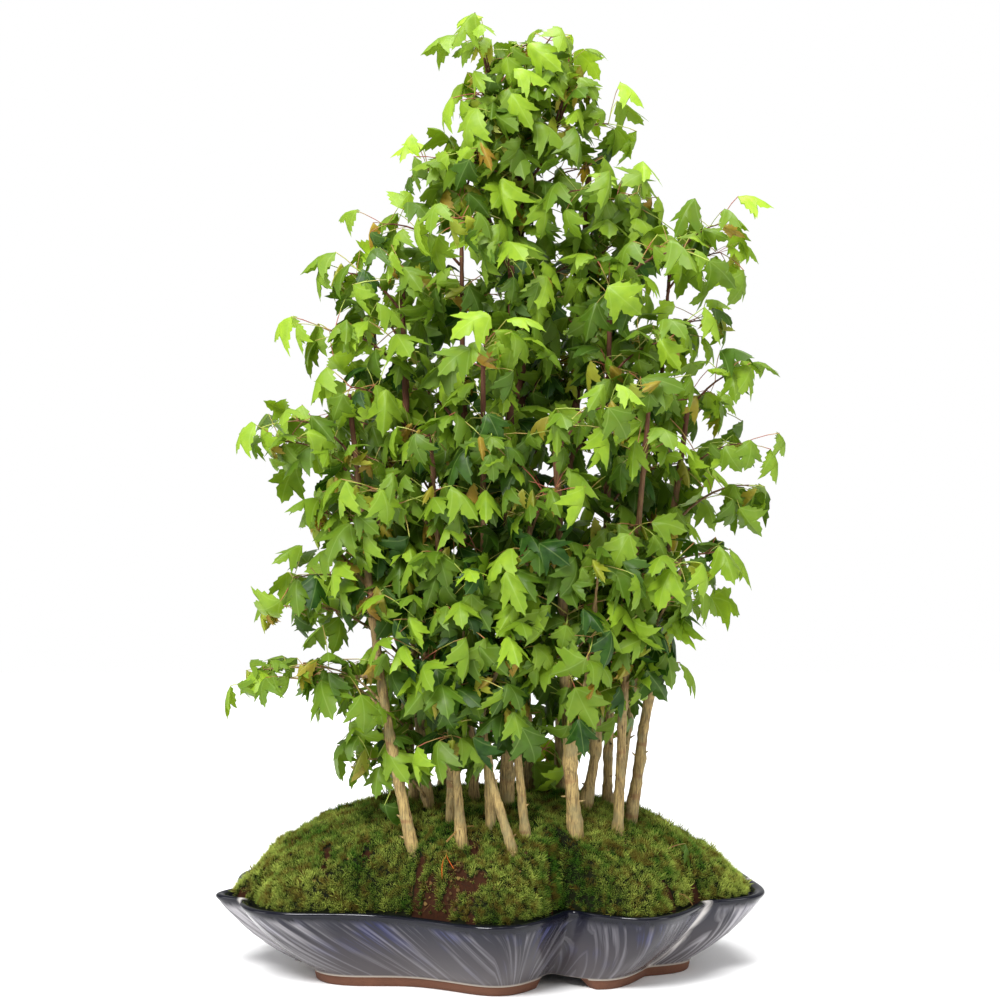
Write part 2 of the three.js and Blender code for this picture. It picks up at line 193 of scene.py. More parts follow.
# The crease of the long front lobe is hardly more than a wave, so it is eased much more.
SOFT_CREASE, SOFT_STEPS, SOFT_PASSES = 8 * STEPS_PER_LOBE, 16, 60
for _ in range(SOFT_PASSES):
    eased = rounded(plan)
    for step in range(SOFT_CREASE - SOFT_STEPS, SOFT_CREASE + SOFT_STEPS):
        plan[step] = eased[step]
arc = [0.0]
for step in range(PLAN_STEPS):
    arc.append(arc[-1] + (plan[(step + 1) % PLAN_STEPS] - plan[step]).length)
print("rim line:", round(arc[-1]), "mm long")

# %% The wall's flare and the profile
FOOT_SCALE = 0.73
# How much of the way from the foot's plan to the rim's plan the wall is, by height.
FLARE = [(9, 0), (14, 0.17), (20, 0.34), (28, 0.54), (36, 0.7), (44, 0.84), (50, 0.94), (56, 1)]
DRAWN_RADIUS = 100
# The profile as (mm in from the plan, mm high), from the recess under the floor round
# the foot, up the wall, over the rolled lip and back down to the middle of the floor.
PROFILE = [
    (DRAWN_RADIUS, 9), (15, 9), (14.6, 8.4), (13.4, 0.8), (12.6, 0.1), (8, 0), (3.6, 0.1),
    (2.6, 0.8), (1.8, 4), (1.6, 6.4), (0.8, 6.9), (0.3, 8.8), (0, 9.8), (0, 12), (0, 16), (0, 20),
    (0, 24), (0, 28), (0, 32), (0, 36), (0, 40), (0, 44), (0, 48), (0, 51), (-0.3, 53),
    (-0.9, 54.4), (-1.1, 55.7), (-0.7, 56.9), (0.3, 57.7), (1.6, 58), (3, 57.9),
    (4.3, 57.5), (5.3, 56.7), (6, 55.4), (6.6, 53), (7.2, 50), (7.4, 44), (7.2, 36),
    (7, 28), (7.4, 20), (8.4, 16), (10, 15), (DRAWN_RADIUS, 15),
]
print("profile points:", len(PROFILE))


def between(table, at):
    """The second number of a table of pairs, found between its rows."""
    if at <= table[0][0]:
        return table[0][1]
    for (a, low), (b, high) in zip(table, table[1:]):
        if at <= b:
            return low + (high - low) * (at - a) / (b - a)
    return table[-1][1]


# %% Spin the profile and push it out to the plan
LIP_HEIGHT = 56
tray = bmesh.new()
line = [tray.verts.new((DRAWN_RADIUS - inset, 0, z)) for inset, z in PROFILE]
for a, b in zip(line, line[1:]):
    tray.edges.new((a, b))
bmesh.ops.spin(
    tray, geom=tray.verts[:] + tray.edges[:], axis=(0, 0, 1), cent=(0, 0, 0),
    angle=2 * math.pi, steps=PLAN_STEPS, use_merge=True,
)
bmesh.ops.remove_doubles(tray, verts=tray.verts, dist=1e-4)
step_layer = tray.verts.layers.int.new("step")
for vert in tray.verts:
    turn = math.atan2(vert.co.y, vert.co.x) % (2 * math.pi)
    vert[step_layer] = round(turn / (2 * math.pi) * PLAN_STEPS) % PLAN_STEPS
    inset = DRAWN_RADIUS - Vector(vert.co[:2]).length
    if inset < DRAWN_RADIUS - 1:
        rim = plan[vert[step_layer]]
        scale = FOOT_SCALE + (1 - FOOT_SCALE) * between(FLARE, vert.co.z)
        place = rim * (scale - inset / rim.length)
        vert.co = (place.x, place.y, vert.co.z)
bmesh.ops.recalc_face_normals(tray, faces=tray.faces)
print("tray faces:", len(tray.faces))

# %% A map that follows the glaze
# The glaze ran down while it melted, and its runs lean. The map's U is the way round
# the rim, sheared by that lean, and V the height. Each row of the leans is a place on
# the rim, counted in lobes from the deep front crease, and the lean there.
LEANS = [
    (0, -0.9), (0.15, 0.6), (0.8, 0.3), (1, -0.5), (1.2, 0.6), (2, -0.5), (2.2, 0.8),
    (3, -0.6), (3.2, 0.7), (4, -0.7), (4.2, 0.7), (5, -0.6), (5.2, 0.8), (6, -0.6),
    (6.2, 0.7), (7, 0.5), (8, 0.9), (8.6, 1.0), (8.85, -0.8), (9, -0.9),
]
CLAY_TOP = 6.7  # mm: below this the feet are bare clay
glaze_map = tray.loops.layers.uv.new("glaze")
for face in tray.faces:
    steps = [loop.vert[step_layer] for loop in face.loops]
    wraps = max(steps) - min(steps) > PLAN_STEPS / 2
    face.material_index = int(face.calc_center_median().z < CLAY_TOP)
    for loop, step in zip(face.loops, steps):
        step += PLAN_STEPS if wraps and step < PLAN_STEPS / 2 else 0
        lean = between(LEANS, step / STEPS_PER_LOBE)
        height = loop.vert.co.z
        loop[glaze_map].uv = ((arc[step] + lean * (height - LIP_HEIGHT)) * MM, height * MM)
print("glaze map laid on", len(tray.faces), "faces")

# %% [markdown]
# The tray stands on a foot ring that four arches cut into feet, and two drain holes go
# through the floor. On clay these are cut with a wire and a hole cutter, and here
# with Boolean modifiers and cutters of the same shape. A crease whitens where the
# glaze ran thin, so each point also keeps how near it is to a crease.

# %% Cut the arches and the drain holes
FOOT_ARCHES = [-53, 8, 92, 184]
ARCH_BOTTOM, ARCH_TOP, ARCH_HEIGHT = 34, 22, 8
ARCH_INNER, ARCH_OUTER = 30, 175
DRAIN_X, DRAIN_RADIUS = 70, 10


def mesh_from(shape, name):
    """The bmesh as a mesh, freed."""
    mesh = bpy.data.meshes.new(name)
    shape.to_mesh(mesh)
    shape.free()
    return mesh


cutter = bmesh.new()
for degrees in FOOT_ARCHES:
    arch = bmesh.ops.create_cube(cutter, size=1)["verts"]
    for vert in arch:
        width = ARCH_TOP if vert.co.z > 0 else ARCH_BOTTOM
        out = ARCH_OUTER if vert.co.x > 0 else ARCH_INNER
        vert.co = (out, vert.co.y * width, ARCH_HEIGHT if vert.co.z > 0 else -1)
    bmesh.ops.rotate(cutter, verts=arch, matrix=Matrix.Rotation(math.radians(degrees), 3, "Z"))
for side in (-1, 1):
    drill = bmesh.ops.create_cone(
        cutter, cap_ends=True, segments=48, radius1=DRAIN_RADIUS, radius2=DRAIN_RADIUS, depth=20
    )["verts"]
    bmesh.ops.translate(cutter, verts=drill, vec=(side * DRAIN_X, 0, 12))
for shape in (tray, cutter):
    bmesh.ops.scale(shape, vec=(MM, MM, MM), verts=shape.verts)
whole = bpy.data.objects.new("tray_whole", mesh_from(tray, "tray_whole"))
cutters = bpy.data.objects.new("tray_cutters", mesh_from(cutter, "tray_cutters"))
for thing in (whole, cutters):
    bpy.context.scene.collection.objects.link(thing)
    for _ in range(2):
        thing.data.materials.append(None)
cut = whole.modifiers.new("cut", "BOOLEAN")
cut.object = cutters
cut.solver = "EXACT"
cut.use_self = True
tray_mesh = bpy.data.meshes.new_from_object(
    whole.evaluated_get(bpy.context.evaluated_depsgraph_get())
)
tray_mesh.name = "glazed_tray"
for thing in (whole, cutters):
    bpy.data.objects.remove(thing)
print("tray faces after the cuts:", len(tray_mesh.polygons))

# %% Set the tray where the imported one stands
PALE_CREASES = (1, 2, 3, 5, 6, 7)  # the glaze ran thin in these and pooled in the others
PALE_WIDTH = 9 * MM
pot_low, pot_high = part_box("pot")
corners = [v.co for v in tray_mesh.vertices]
middle_x = (min(c.x for c in corners) + max(c.x for c in corners)) / 2
middle_y = (min(c.y for c in corners) + max(c.y for c in corners)) / 2
pot_middle = (pot_low + pot_high) / 2
CENTRE = Vector((pot_middle.x - middle_x, pot_middle.y - middle_y, 0))
tray_mesh.transform(Matrix.Translation(CENTRE))
crease = tray_mesh.attributes.new("crease", "FLOAT", "POINT")
creases = [Vector(LOBES[i][:2]) * MM for i in PALE_CREASES]
for i, vert in enumerate(tray_mesh.vertices):
    place = Vector((vert.co.x - CENTRE.x, vert.co.y - CENTRE.y))
    scale = FOOT_SCALE + (1 - FOOT_SCALE) * between(FLARE, vert.co.z / MM)
    near = min((place - c * scale).length for c in creases)
    crease.data[i].value = max(0, 1 - near / PALE_WIDTH)
smooth_shading(tray_mesh, 50)
print("tray centre:", [round(v / MM, 2) for v in CENTRE], "mm")

# %% [markdown]
# The glaze is a blue-black reduction glaze over a pale one. It is near black where it
# is thick under the lip, opens into violet grey with milky runs on the bulges, shows
# cobalt where it pooled, and turns cream where it ran thin in the creases and along
# its lower border. Fired glaze is glass: IOR about 1.5 and very smooth.

# %% Blue-black running glaze
glaze, tree, surface = start_material(
    "stoneware_with_running_glaze", {"IOR": 1.5, "Specular IOR Level": 0.3}
)
where = add(tree, "UVMap", {"uv_map": "glaze"}).outputs["UV"]
height = add(tree, "SeparateXYZ", None, {"Vector": where}).outputs["Y"]
rise = add(
    tree, "MapRange", {"From Min": 10 * MM, "From Max": 50 * MM}, {"Value": height}
).outputs["Result"]
# A run is about 5 mm wide and 60 mm long, and each finer layer is half of that.
run_map = add(
    tree, "Mapping", {"Scale": (1 / (5 * MM), 1 / (60 * MM), 1)}, {"Vector": where}
).outputs["Vector"]
runs = add(
    tree, "TexNoise", {"Scale": 1.0, "Detail": 3, "Roughness": 0.5, "Distortion": 0.2},
    {"Vector": run_map},
).outputs["Fac"]
pool_map = add(
    tree, "Mapping", {"Scale": (1 / (30 * MM), 1 / (26 * MM), 1)}, {"Vector": where}
).outputs["Vector"]
pools = add(tree, "TexNoise", {"Scale": 1.0, "Detail": 2}, {"Vector": pool_map}).outputs["Fac"]
body = add(
    tree, "Mix", {"data_type": "RGBA", 6: linear("#4f4a4c"), 7: linear("#20202a")}, {0: rise}
).outputs[2]
cobalt_share = add(
    tree, "MapRange", {"From Min": 0.5, "From Max": 0.66, "To Max": 0.5}, {"Value": pools}
).outputs["Result"]
threads = add(
    tree, "MapRange", {"From Min": 0.42, "From Max": 0.56}, {"Value": runs}
).outputs["Result"]
cobalt_high = add(
    tree, "Math", {"operation": "MULTIPLY"}, {0: cobalt_share, 1: threads}
).outputs["Value"]
cobalt_high = add(
    tree, "Math", {"operation": "MULTIPLY"}, {0: cobalt_high, 1: rise}
).outputs["Value"]
body = add(
    tree, "Mix", {"data_type": "RGBA", 7: linear("#202c70")}, {0: cobalt_high, 6: body}
).outputs[2]
body = layered(tree, body, "#8b888e", runs, 0.5, 0.72, 0.55)
# Painted highlight: the glaze on the end lobes is lightened to pale grey along its runs.
across = add(
    tree, "SeparateXYZ", None, {"Vector": add(tree, "TexCoord").outputs["Object"]}
).outputs["X"]
far_out = add(tree, "Math", {"operation": "ABSOLUTE"}, {0: across}).outputs["Value"]
end_highlight_share = add(
    tree, "MapRange", {"From Min": 110 * MM, "From Max": 180 * MM}, {"Value": far_out}
).outputs["Result"]
highlight_runs = add(
    tree, "MapRange", {"From Min": 0.4, "From Max": 0.62, "To Max": 0.75}, {"Value": runs}
).outputs["Result"]
painted_end_highlight = add(
    tree, "Math", {"operation": "MULTIPLY"}, {0: end_highlight_share, 1: highlight_runs}
).outputs["Value"]
body = add(
    tree, "Mix", {"data_type": "RGBA", 7: linear("#b4b1b4")}, {0: painted_end_highlight, 6: body}
).outputs[2]
# Dark tongues hang from the lip: the runs' own pattern moves the lip's lower edge.
tongue = add(
    tree, "Math", {"operation": "MULTIPLY_ADD", 1: 16 * MM}, {0: runs, 2: height}
).outputs["Value"]
body = layered(tree, body, "#0c0d17", tongue, 58 * MM, 62 * MM)
near_crease = add(tree, "Attribute", {"attribute_name": "crease"}).outputs["Fac"]
thin = add(tree, "Math", {"operation": "MULTIPLY"}, {0: near_crease, 1: runs}).outputs["Value"]
body = layered(tree, body, "#c4bfbb", thin, 0.2, 0.5, 0.9)
body = layered(tree, body, "#a59c90", height, 8.6 * MM, 7.4 * MM)
colour_and_gloss(tree, surface, body, runs, 0.07, 0.22)
bump = add(
    tree, "Bump", {"Strength": 0.25, "Distance": 0.4 * MM}, {"Height": runs}
).outputs["Normal"]
tree.links.new(bump, surface.inputs["Normal"])

# %% [markdown]
# The feet are left bare, so they show the fired clay: iron-red stoneware, matt and
# slightly gritty, with darker specks of grog about half a millimetre across.

# %% Bare red-brown clay
clay, tree, surface = start_material("bare_iron_red_stoneware", {"Specular IOR Level": 0.25})
place = add(tree, "TexCoord").outputs["Object"]
cloud = add(tree, "TexNoise", {"Scale": 1 / (12 * MM), "Detail": 3}, {"Vector": place}).outputs["Fac"]
grog = add(tree, "TexVoronoi", {"Scale": 1 / (1.6 * MM)}, {"Vector": place}).outputs["Distance"]
tone = add(
    tree, "Mix", {"data_type": "RGBA", 6: linear("#563627"), 7: linear("#6f4a38")}, {0: cloud}
).outputs[2]
tone = layered(tree, tone, "#3f2418", grog, 0.22, 0.1, 0.5)
colour_and_gloss(tree, surface, tone, cloud, 0.6, 0.85)
grit = add(
    tree, "Bump", {"Strength": 0.3, "Distance": 0.2 * MM}, {"Height": grog}
).outputs["Normal"]
tree.links.new(grit, surface.inputs["Normal"])

make_piece("glazed_tray", tray_mesh, ["pot"])
for index, material in enumerate((glaze, clay)):
    tray_mesh.materials[index] = material
for face in tray_mesh.polygons:
    if face.center.z < CLAY_TOP * MM:
        face.material_index = 1
print("tray triangles:", triangles(tray_mesh))

# %% [markdown]
# ## The mound and its moss
# The soil is heaped into a low hill, and cushion moss is laid over it in pads. Up
# close a pad is a crowd of starry shoots 2 to 4 mm high. The pads are one spun sheet,
# raised by noise, and the shoots are three small stars, stamped tens of thousands of
# times, each time with a shade of its own, so a star has fewer than twenty faces.

# %% The hill's shape
MOUND_MIDDLE = Vector((-8, 12))
MOUND_LENGTH, MOUND_WIDTH = 188, 125
MOUND_FOOT, MOUND_RISE = 47, 74
EDGE_INSET, EDGE_SCALE, EDGE_HEIGHT = 8.3, 0.985, 50.5
HILL_SPREAD, HILL_ROUND, EDGE_DROP = 1.3, 0.85, 1.6  # powers that shape the slopes
SHOULDER = 0.84  # share of the way out where the moss starts to fall to the wall
MOSS_DEPTH = 4.2


def ripple(x, y, width, layer):
    """Smooth noise from -1 to 1 whose waves are about as wide as given, in mm."""
    return noise.noise(Vector((x / width, y / width, layer)))


def reach(angle):
    """How far the moss goes from the axis in a direction, in mm."""
    at = (angle - REACH[0][0]) % (2 * math.pi) + REACH[0][0]
    return between(REACH, at)


edge = [p * (EDGE_SCALE - EDGE_INSET / p.length) for p in plan]
first = math.atan2(edge[0].y, edge[0].x)
REACH = sorted(((math.atan2(p.y, p.x) - first) % (2 * math.pi) + first, p.length) for p in edge)
REACH.append((REACH[0][0] + 2 * math.pi, REACH[0][1]))


def hill(x, y):
    """Height of the soil under a point, in mm, without its edge."""
    u = ((x - MOUND_MIDDLE.x) / MOUND_LENGTH) ** 2 + ((y - MOUND_MIDDLE.y) / MOUND_WIDTH) ** 2
    return MOUND_FOOT + MOUND_RISE * max(0, 1 - u**HILL_SPREAD) ** HILL_ROUND


def moss_height(x, y, share):
    """Height of the moss pads, in mm, at a share of the way out to the tray's wall."""
    over = max(0, (share - SHOULDER) / (1 - SHOULDER))
    inner = SHOULDER / share if share > SHOULDER else 1
    drop = over**EDGE_DROP
    base = hill(x * inner, y * inner) * (1 - drop) + EDGE_HEIGHT * drop
    pads = ripple(x, y, 21, 3) * 4.6 + ripple(x, y, 8, 8) * 2.4
    return base + MOSS_DEPTH + pads * (1 - 0.5 * over)


BARE_MIDDLE = Vector((-46, -88))
BARE_LENGTH, BARE_WIDTH = 40, 9


def bare(x, y):
    """1 where the soil shows, 0 under moss."""
    u = ((x - BARE_MIDDLE.x) / BARE_LENGTH) ** 2 + ((y - BARE_MIDDLE.y) / BARE_WIDTH) ** 2
    u += ripple(x, y, 9, 21) * 1.8
    spots = ripple(x, y, 13, 40) - 0.36
    return max(min(1, max(0, (1.1 - u) * 1.6)), min(1, max(0, spots * 7)))


print("hill top:", round(hill(*MOUND_MIDDLE)), "mm")

# %% Spin the soil and the moss carpet
RINGS = 64
CARPET = 4.5  # mm: the thickness of the carpet


def spun_layer(name, under_points, top_drop):
    """A closed layer whose top follows the moss, top_drop mm lower.

    Each point under it is a share of the way out, and its depth below the top or,
    as a negative number, its height in the tray.
    """
    layer = bmesh.new()
    chain = [layer.verts.new((i / RINGS, 0, 0)) for i in range(RINGS + 1)]
    chain += [layer.verts.new((share, 0, -1 - i)) for i, (share, _) in enumerate(under_points)]
    for a, b in zip(chain, chain[1:]):
        layer.edges.new((a, b))
    bmesh.ops.spin(
        layer, geom=layer.verts[:] + layer.edges[:], axis=(0, 0, 1), cent=(0, 0, 0),
        angle=2 * math.pi, steps=PLAN_STEPS, use_merge=True,
    )
    bmesh.ops.remove_doubles(layer, verts=layer.verts, dist=1e-5)
    bmesh.ops.recalc_face_normals(layer, faces=layer.faces)
    soil_layer = layer.verts.layers.float.new("bare")
    for vert in layer.verts:
        share = Vector(vert.co[:2]).length
        angle = math.atan2(vert.co.y, vert.co.x)
        far = reach(angle) * share
        x, y = math.cos(angle) * far, math.sin(angle) * far
        vert[soil_layer] = bare(x, y)
        z = moss_height(x, y, min(share, 1)) - top_drop
        if vert.co.z > -0.5:
            z += noise.noise(Vector((x, y, z)) / 2.2) * 0.9 - vert[soil_layer] * 2.2
        else:
            depth = under_points[round(-1 - vert.co.z)][1]
            z = -depth if depth < 0 else z - depth
        vert.co = CENTRE + Vector((x, y, z)) * MM
    mesh = mesh_from(layer, name)
    smooth_shading(mesh, 80)
    print(name, "triangles:", triangles(mesh))
    return mesh


carpet_mesh = spun_layer("moss_carpet", [(1, CARPET), (0.66, CARPET), (0.33, CARPET), (0, CARPET)], 0)
soil_mesh = spun_layer("soil_fill", [(0.86, -32), (0.8, -23), (0, -23)], CARPET + 3)

# %% [markdown]
# The carpet under the shoots is dead brown-green moss, painted near black as the
# shade under the shoots, and where it's bare it is damp red-brown soil with crumbs.
# Both are rough.

# %% Soil and old moss
ground, tree, surface = start_material("damp_soil_and_old_moss_under_painted_shade", {"Specular IOR Level": 0.1})
place = add(tree, "TexCoord").outputs["Object"]
crumbs = add(
    tree, "TexNoise", {"Scale": 1 / (2.5 * MM), "Detail": 5, "Roughness": 0.7}, {"Vector": place}
).outputs["Fac"]
# The crumbs break up the border between soil and moss.
bare_value = add(tree, "Attribute", {"attribute_name": "bare"}).outputs["Fac"]
frayed = add(tree, "Math", {"operation": "ADD"}, {0: bare_value, 1: crumbs}).outputs["Value"]
bare_share = add(
    tree, "MapRange", {"From Min": 0.85, "From Max": 1.05}, {"Value": frayed}
).outputs["Result"]
soil_tone = add(
    tree, "Mix", {"data_type": "RGBA", 6: linear("#0e0704"), 7: linear("#452614")}, {0: crumbs}
).outputs[2]
# Painted shade: the old moss under the shoots runs from near black to dark olive.
moss_in_painted_shade = add(
    tree, "Mix", {"data_type": "RGBA", 6: linear("#050702"), 7: linear("#1c200b")}, {0: crumbs}
).outputs[2]
tone = add(
    tree, "Mix", {"data_type": "RGBA"}, {0: bare_share, 6: moss_in_painted_shade, 7: soil_tone}
).outputs[2]
colour_and_gloss(tree, surface, tone, crumbs, 0.65, 0.95)
lumps = add(
    tree, "Bump", {"Strength": 0.8, "Distance": 1.2 * MM}, {"Height": crumbs}
).outputs["Normal"]
tree.links.new(lumps, surface.inputs["Normal"])
make_piece("moss_carpet", carpet_mesh, ["moss_cover"], [ground])
make_piece("soil_fill", soil_mesh, ["soil_mound"], [ground])

# %% [markdown]
# One moss shoot: a ring of narrow leaves that lean out from a short stem, under a
# smaller upright crown. Each leaf is a three-sided spike from `create_cone`, so it
# looks solid from every side. A `tip` value on its points lets the shader paint
# shade, near black, at the foot and light at the tip.

# %% The moss shoot and its stamping
def moss_star(leaves, length, lean):
    """A starry shoot in mm, pointing up, as a mesh with tint and tip values."""
    star = bmesh.new()
    tip_layer = star.verts.layers.float.new("tip")
    star.verts.layers.float.new("tint")
    for i in range(leaves + 1):
        upright = i == leaves
        tall = length * (1.25 if upright else 1)
        spike = bmesh.ops.create_cone(
            star, cap_ends=False, segments=3, radius1=0.3, radius2=0, depth=tall
        )["verts"]
        bmesh.ops.remove_doubles(star, verts=spike, dist=1e-4)
        spike = [v for v in star.verts if v.is_valid and v[tip_layer] == 0 and not v.tag]
        bmesh.ops.translate(star, verts=spike, vec=(0, 0, tall / 2))
        for vert in spike:
            vert[tip_layer] = 0.02 + vert.co.z / tall
            vert.tag = True
        tilt = Matrix.Rotation(0 if upright else lean, 3, "Y")
        turn = Matrix.Rotation(2 * math.pi * i / leaves, 3, "Z")
        bmesh.ops.rotate(star, verts=spike, matrix=turn @ tilt)
    return mesh_from(star, "moss_star")


def stamp(shape, pattern, matrix, values):
    """Adds a copy of the pattern to the bmesh, moved by the matrix, with its values."""
    for name, value in values.items():
        data = pattern.attributes[name].data
        data.foreach_set("value", [value] * len(data))
    pattern.transform(matrix)
    shape.from_mesh(pattern)
    pattern.transform(matrix.inverted())


random.seed(7)
MOSS_EDGE = 0.995  # share of the way out to the wall where the moss ends
STARS = [moss_star(5, 3.4, 0.6), moss_star(5, 2.7, 0.85), moss_star(4, 4.2, 0.42)]
SHOOTS = 42000
BEDS = ("left", "middle_left", "middle", "middle_right", "right")


def upright_on(point, normal, spin, size):
    """The matrix that stands a pattern drawn in mm on a surface."""
    axis = (normal + Vector((0, 0, 0.5))).normalized()
    axis += Vector((random.uniform(-1, 1), random.uniform(-1, 1), 0)) * 0.35
    turned = axis.to_track_quat("Z", "Y").to_matrix().to_4x4()
    return (
        Matrix.Translation(CENTRE + point * MM) @ turned
        @ Matrix.Rotation(spin, 4, "Z") @ Matrix.Scale(size * MM, 4)
    )


def share_at(x, y):
    """How far out a point lies, from 0 at the middle to 1 at the tray's wall."""
    return min(1, Vector((x, y)).length / reach(math.atan2(y, x)))


def on_moss(x, y):
    """A point of the moss in mm with its normal and its share, or None off the moss."""
    share = share_at(x, y)
    if share > MOSS_EDGE:
        return None
    z = moss_height(x, y, share)
    step = 1.5
    slope_x = moss_height(x + step, y, share_at(x + step, y)) - z
    slope_y = moss_height(x, y + step, share_at(x, y + step)) - z
    return Vector((x, y, z)), Vector((-slope_x, -slope_y, step)).normalized(), share


# %% Lay the moss
BED_FRONT, BED_BACK = -115, 125  # mm
BED_REACH = 200  # mm: the beds share the way from this far left to this far right
STEEP = 0.14  # the upward part of the normal where a slope gets its full share of moss
END_LOBES = 90  # mm: out here the moss by the wall gets more light and is brighter
moss_beds = [bmesh.new() for bed in BEDS]
laid = 0
while laid < SHOOTS:
    x, y = random.uniform(-BED_REACH, BED_REACH), random.uniform(BED_FRONT, BED_BACK)
    found = on_moss(x, y)
    if not found or random.random() < bare(x, y) * 0.93:
        continue
    point, normal, share = found
    # A slope holds more moss than its plan shows, so flat ground skips some shoots.
    if random.random() > STEEP / max(STEEP, normal.z):
        continue
    patch = ripple(x, y, 26, 60) + 0.35 * ripple(x, y, 6, 70)
    edge_glow = 0.5 * max(0, share - 0.8) / 0.2 * (abs(x) > END_LOBES)
    clump = ripple(x, y, 3.4, 90)
    tint = min(1, max(0, 0.36 + patch * 0.8 + clump * 0.75 + edge_glow + random.gauss(0, 0.12)))
    size = random.uniform(0.7, 1.25) + 0.5 * clump + (0.8 if random.random() < 0.02 else 0)
    bed = moss_beds[int((x + BED_REACH) / (2 * BED_REACH) * len(BEDS))]
    star = random.choice(STARS)
    stamp(bed, star, upright_on(point, normal, random.uniform(0, 6.3), size), {"tint": tint})
    laid += 1
print("moss shoots:", laid)

# %% [markdown]
# Living moss has no gloss to speak of. Its tips are paler, yellower new growth that
# lets light through, and that glow is painted into their colour; the crowded feet are
# painted near black, as shade.

# %% Moss
moss, tree, surface = start_material("living_cushion_moss", {"Specular IOR Level": 0.08})
tint = add(tree, "Attribute", {"attribute_name": "tint"}).outputs["Fac"]
tip = add(tree, "Attribute", {"attribute_name": "tip"}).outputs["Fac"]
# Painted shade: the feet of the shoots are near black. Painted light: the tips are pale, partly their
# own colour and partly painted glow.
deep = add(
    tree, "Mix", {"data_type": "RGBA", 6: linear("#060c02"), 7: linear("#142607")}, {0: tint}
).outputs[2]
painted_light = add(
    tree, "Mix", {"data_type": "RGBA", 6: linear("#568828"), 7: linear("#d2e266")}, {0: tint}
).outputs[2]
lit = add(tree, "MapRange", {"From Min": 0.34, "From Max": 1.0}, {"Value": tip}).outputs["Result"]
tone = add(tree, "Mix", {"data_type": "RGBA"}, {0: lit, 6: deep, 7: painted_light}).outputs[2]
place = add(tree, "TexCoord").outputs["Object"]
weather = add(
    tree, "TexNoise", {"Scale": 1 / (9 * MM), "Detail": 4}, {"Vector": place}
).outputs["Fac"]
tone = layered(tree, tone, "#624a1c", weather, 0.48, 0.62, 0.7)
colour_and_gloss(tree, surface, tone, weather, 0.6, 0.9)
for name, bed in zip(BEDS, moss_beds):
    bed_mesh = mesh_from(bed, "moss_shoots_" + name)
    make_piece("moss_shoots_" + name, bed_mesh, ["moss_cover"], [moss])
    print("moss", name, "triangles:", triangles(bed_mesh))

# %% [markdown]
# Things have dropped on the moss: bark flakes, curled bits of old leaf, straws of dead
# grass, and two orange roots that show in the bare soil. A flake is a disc of a few
# faces, bent and given thickness, and a straw is a chain of thin cones.

# %% Litter
def litter_flake():
    """A bent flake about 1 across, with a tint value."""
    flake = bmesh.new()
    flake.verts.layers.float.new("tint")
    bmesh.ops.create_circle(flake, cap_ends=True, cap_tris=True, segments=7, radius=0.5)
    for vert in flake.verts:
        vert.co.x *= random.uniform(0.5, 1.0)
        vert.co.z = 0.9 * vert.co.y**2 + random.uniform(-0.05, 0.05)
    bmesh.ops.solidify(flake, geom=flake.faces[:], thickness=0.08)
    bmesh.ops.recalc_face_normals(flake, faces=flake.faces)
    return mesh_from(flake, "litter_flake")


def cone_between(shape, a, b, sides, radius_a, radius_b, overlap, capped=True):
    """A cone from a to b, a little longer than the gap between them: its points."""
    part = bmesh.ops.create_cone(
        shape, cap_ends=capped, segments=sides, radius1=radius_a, radius2=radius_b,
        depth=(b - a).length * overlap,
    )["verts"]
    bmesh.ops.rotate(shape, verts=part, matrix=(b - a).to_track_quat("Z", "X").to_matrix())
    bmesh.ops.translate(shape, verts=part, vec=(a + b) / 2)
    return part


def litter_straw(bend):
    """A thin curved straw 1 long, with a tint value."""
    straw = bmesh.new()
    straw.verts.layers.float.new("tint")
    path = [
        Vector((t - 0.5, bend * math.sin(2.4 * t), 0.16 * math.sin(math.pi * t)))
        for t in (0, 0.25, 0.5, 0.75, 1)
    ]
    for a, b in zip(path, path[1:]):
        cone_between(straw, a, b, 4, 0.022, 0.018, 1.06)
    return mesh_from(straw, "litter_straw")


random.seed(23)
FLAKES = [litter_flake() for _ in range(4)]
STRAWS = [litter_straw(bend) for bend in (0.05, 0.18, -0.12)]
# Litter gathers on the left shoulder, round the bare patch and between the trunks, and
# some lies everywhere. A row is a heap: its middle, width and depth in mm, and its bits.
HEAPS = [
    (-130, -20, 60, 50, 260), (-48, -84, 60, 20, 300), (10, -10, 110, 60, 300),
    (0, 0, 220, 130, 500),
]
FLAKE_SHARE = 0.6
# Single pieces given one by one, two orange roots and two dead twigs: x, y, length, turn.
LONE_STRAWS = [(-38, -80, 17, 1.2), (-34, -78, 15, 1.75), (-24, -64, 34, 0.05), (128, -52, 22, -0.8)]
LONGEST_ROOT = 20  # mm: the hand-set straws below this are the orange roots
litter = bmesh.new()
for middle_x, middle_y, wide, deep, count in HEAPS:
    for _ in range(count):
        found = on_moss(random.gauss(middle_x, wide / 2), random.gauss(middle_y, deep / 2))
        if not found:
            continue
        point, normal, _ = found
        is_flake = random.random() < FLAKE_SHARE
        pattern = random.choice(FLAKES if is_flake else STRAWS)
        size = random.uniform(1.2, 3.6) if is_flake else random.uniform(3, 9)
        above = point + Vector((0, 0, random.uniform(0.6, 2.2)))
        matrix = upright_on(above, normal, random.uniform(0, 6.3), size)
        stamp(litter, pattern, matrix, {"tint": 0.5 * random.random() ** 2})
for x, y, length, turn in LONE_STRAWS:
    while not on_moss(x, y):
        y += 2
    point, normal, _ = on_moss(x, y)
    matrix = upright_on(point + Vector((0, 0, 2.4)), normal, turn, length)
    stamp(litter, STRAWS[1], matrix, {"tint": 1.0 if length < LONGEST_ROOT else 0.5})
litter_mesh = mesh_from(litter, "moss_litter")

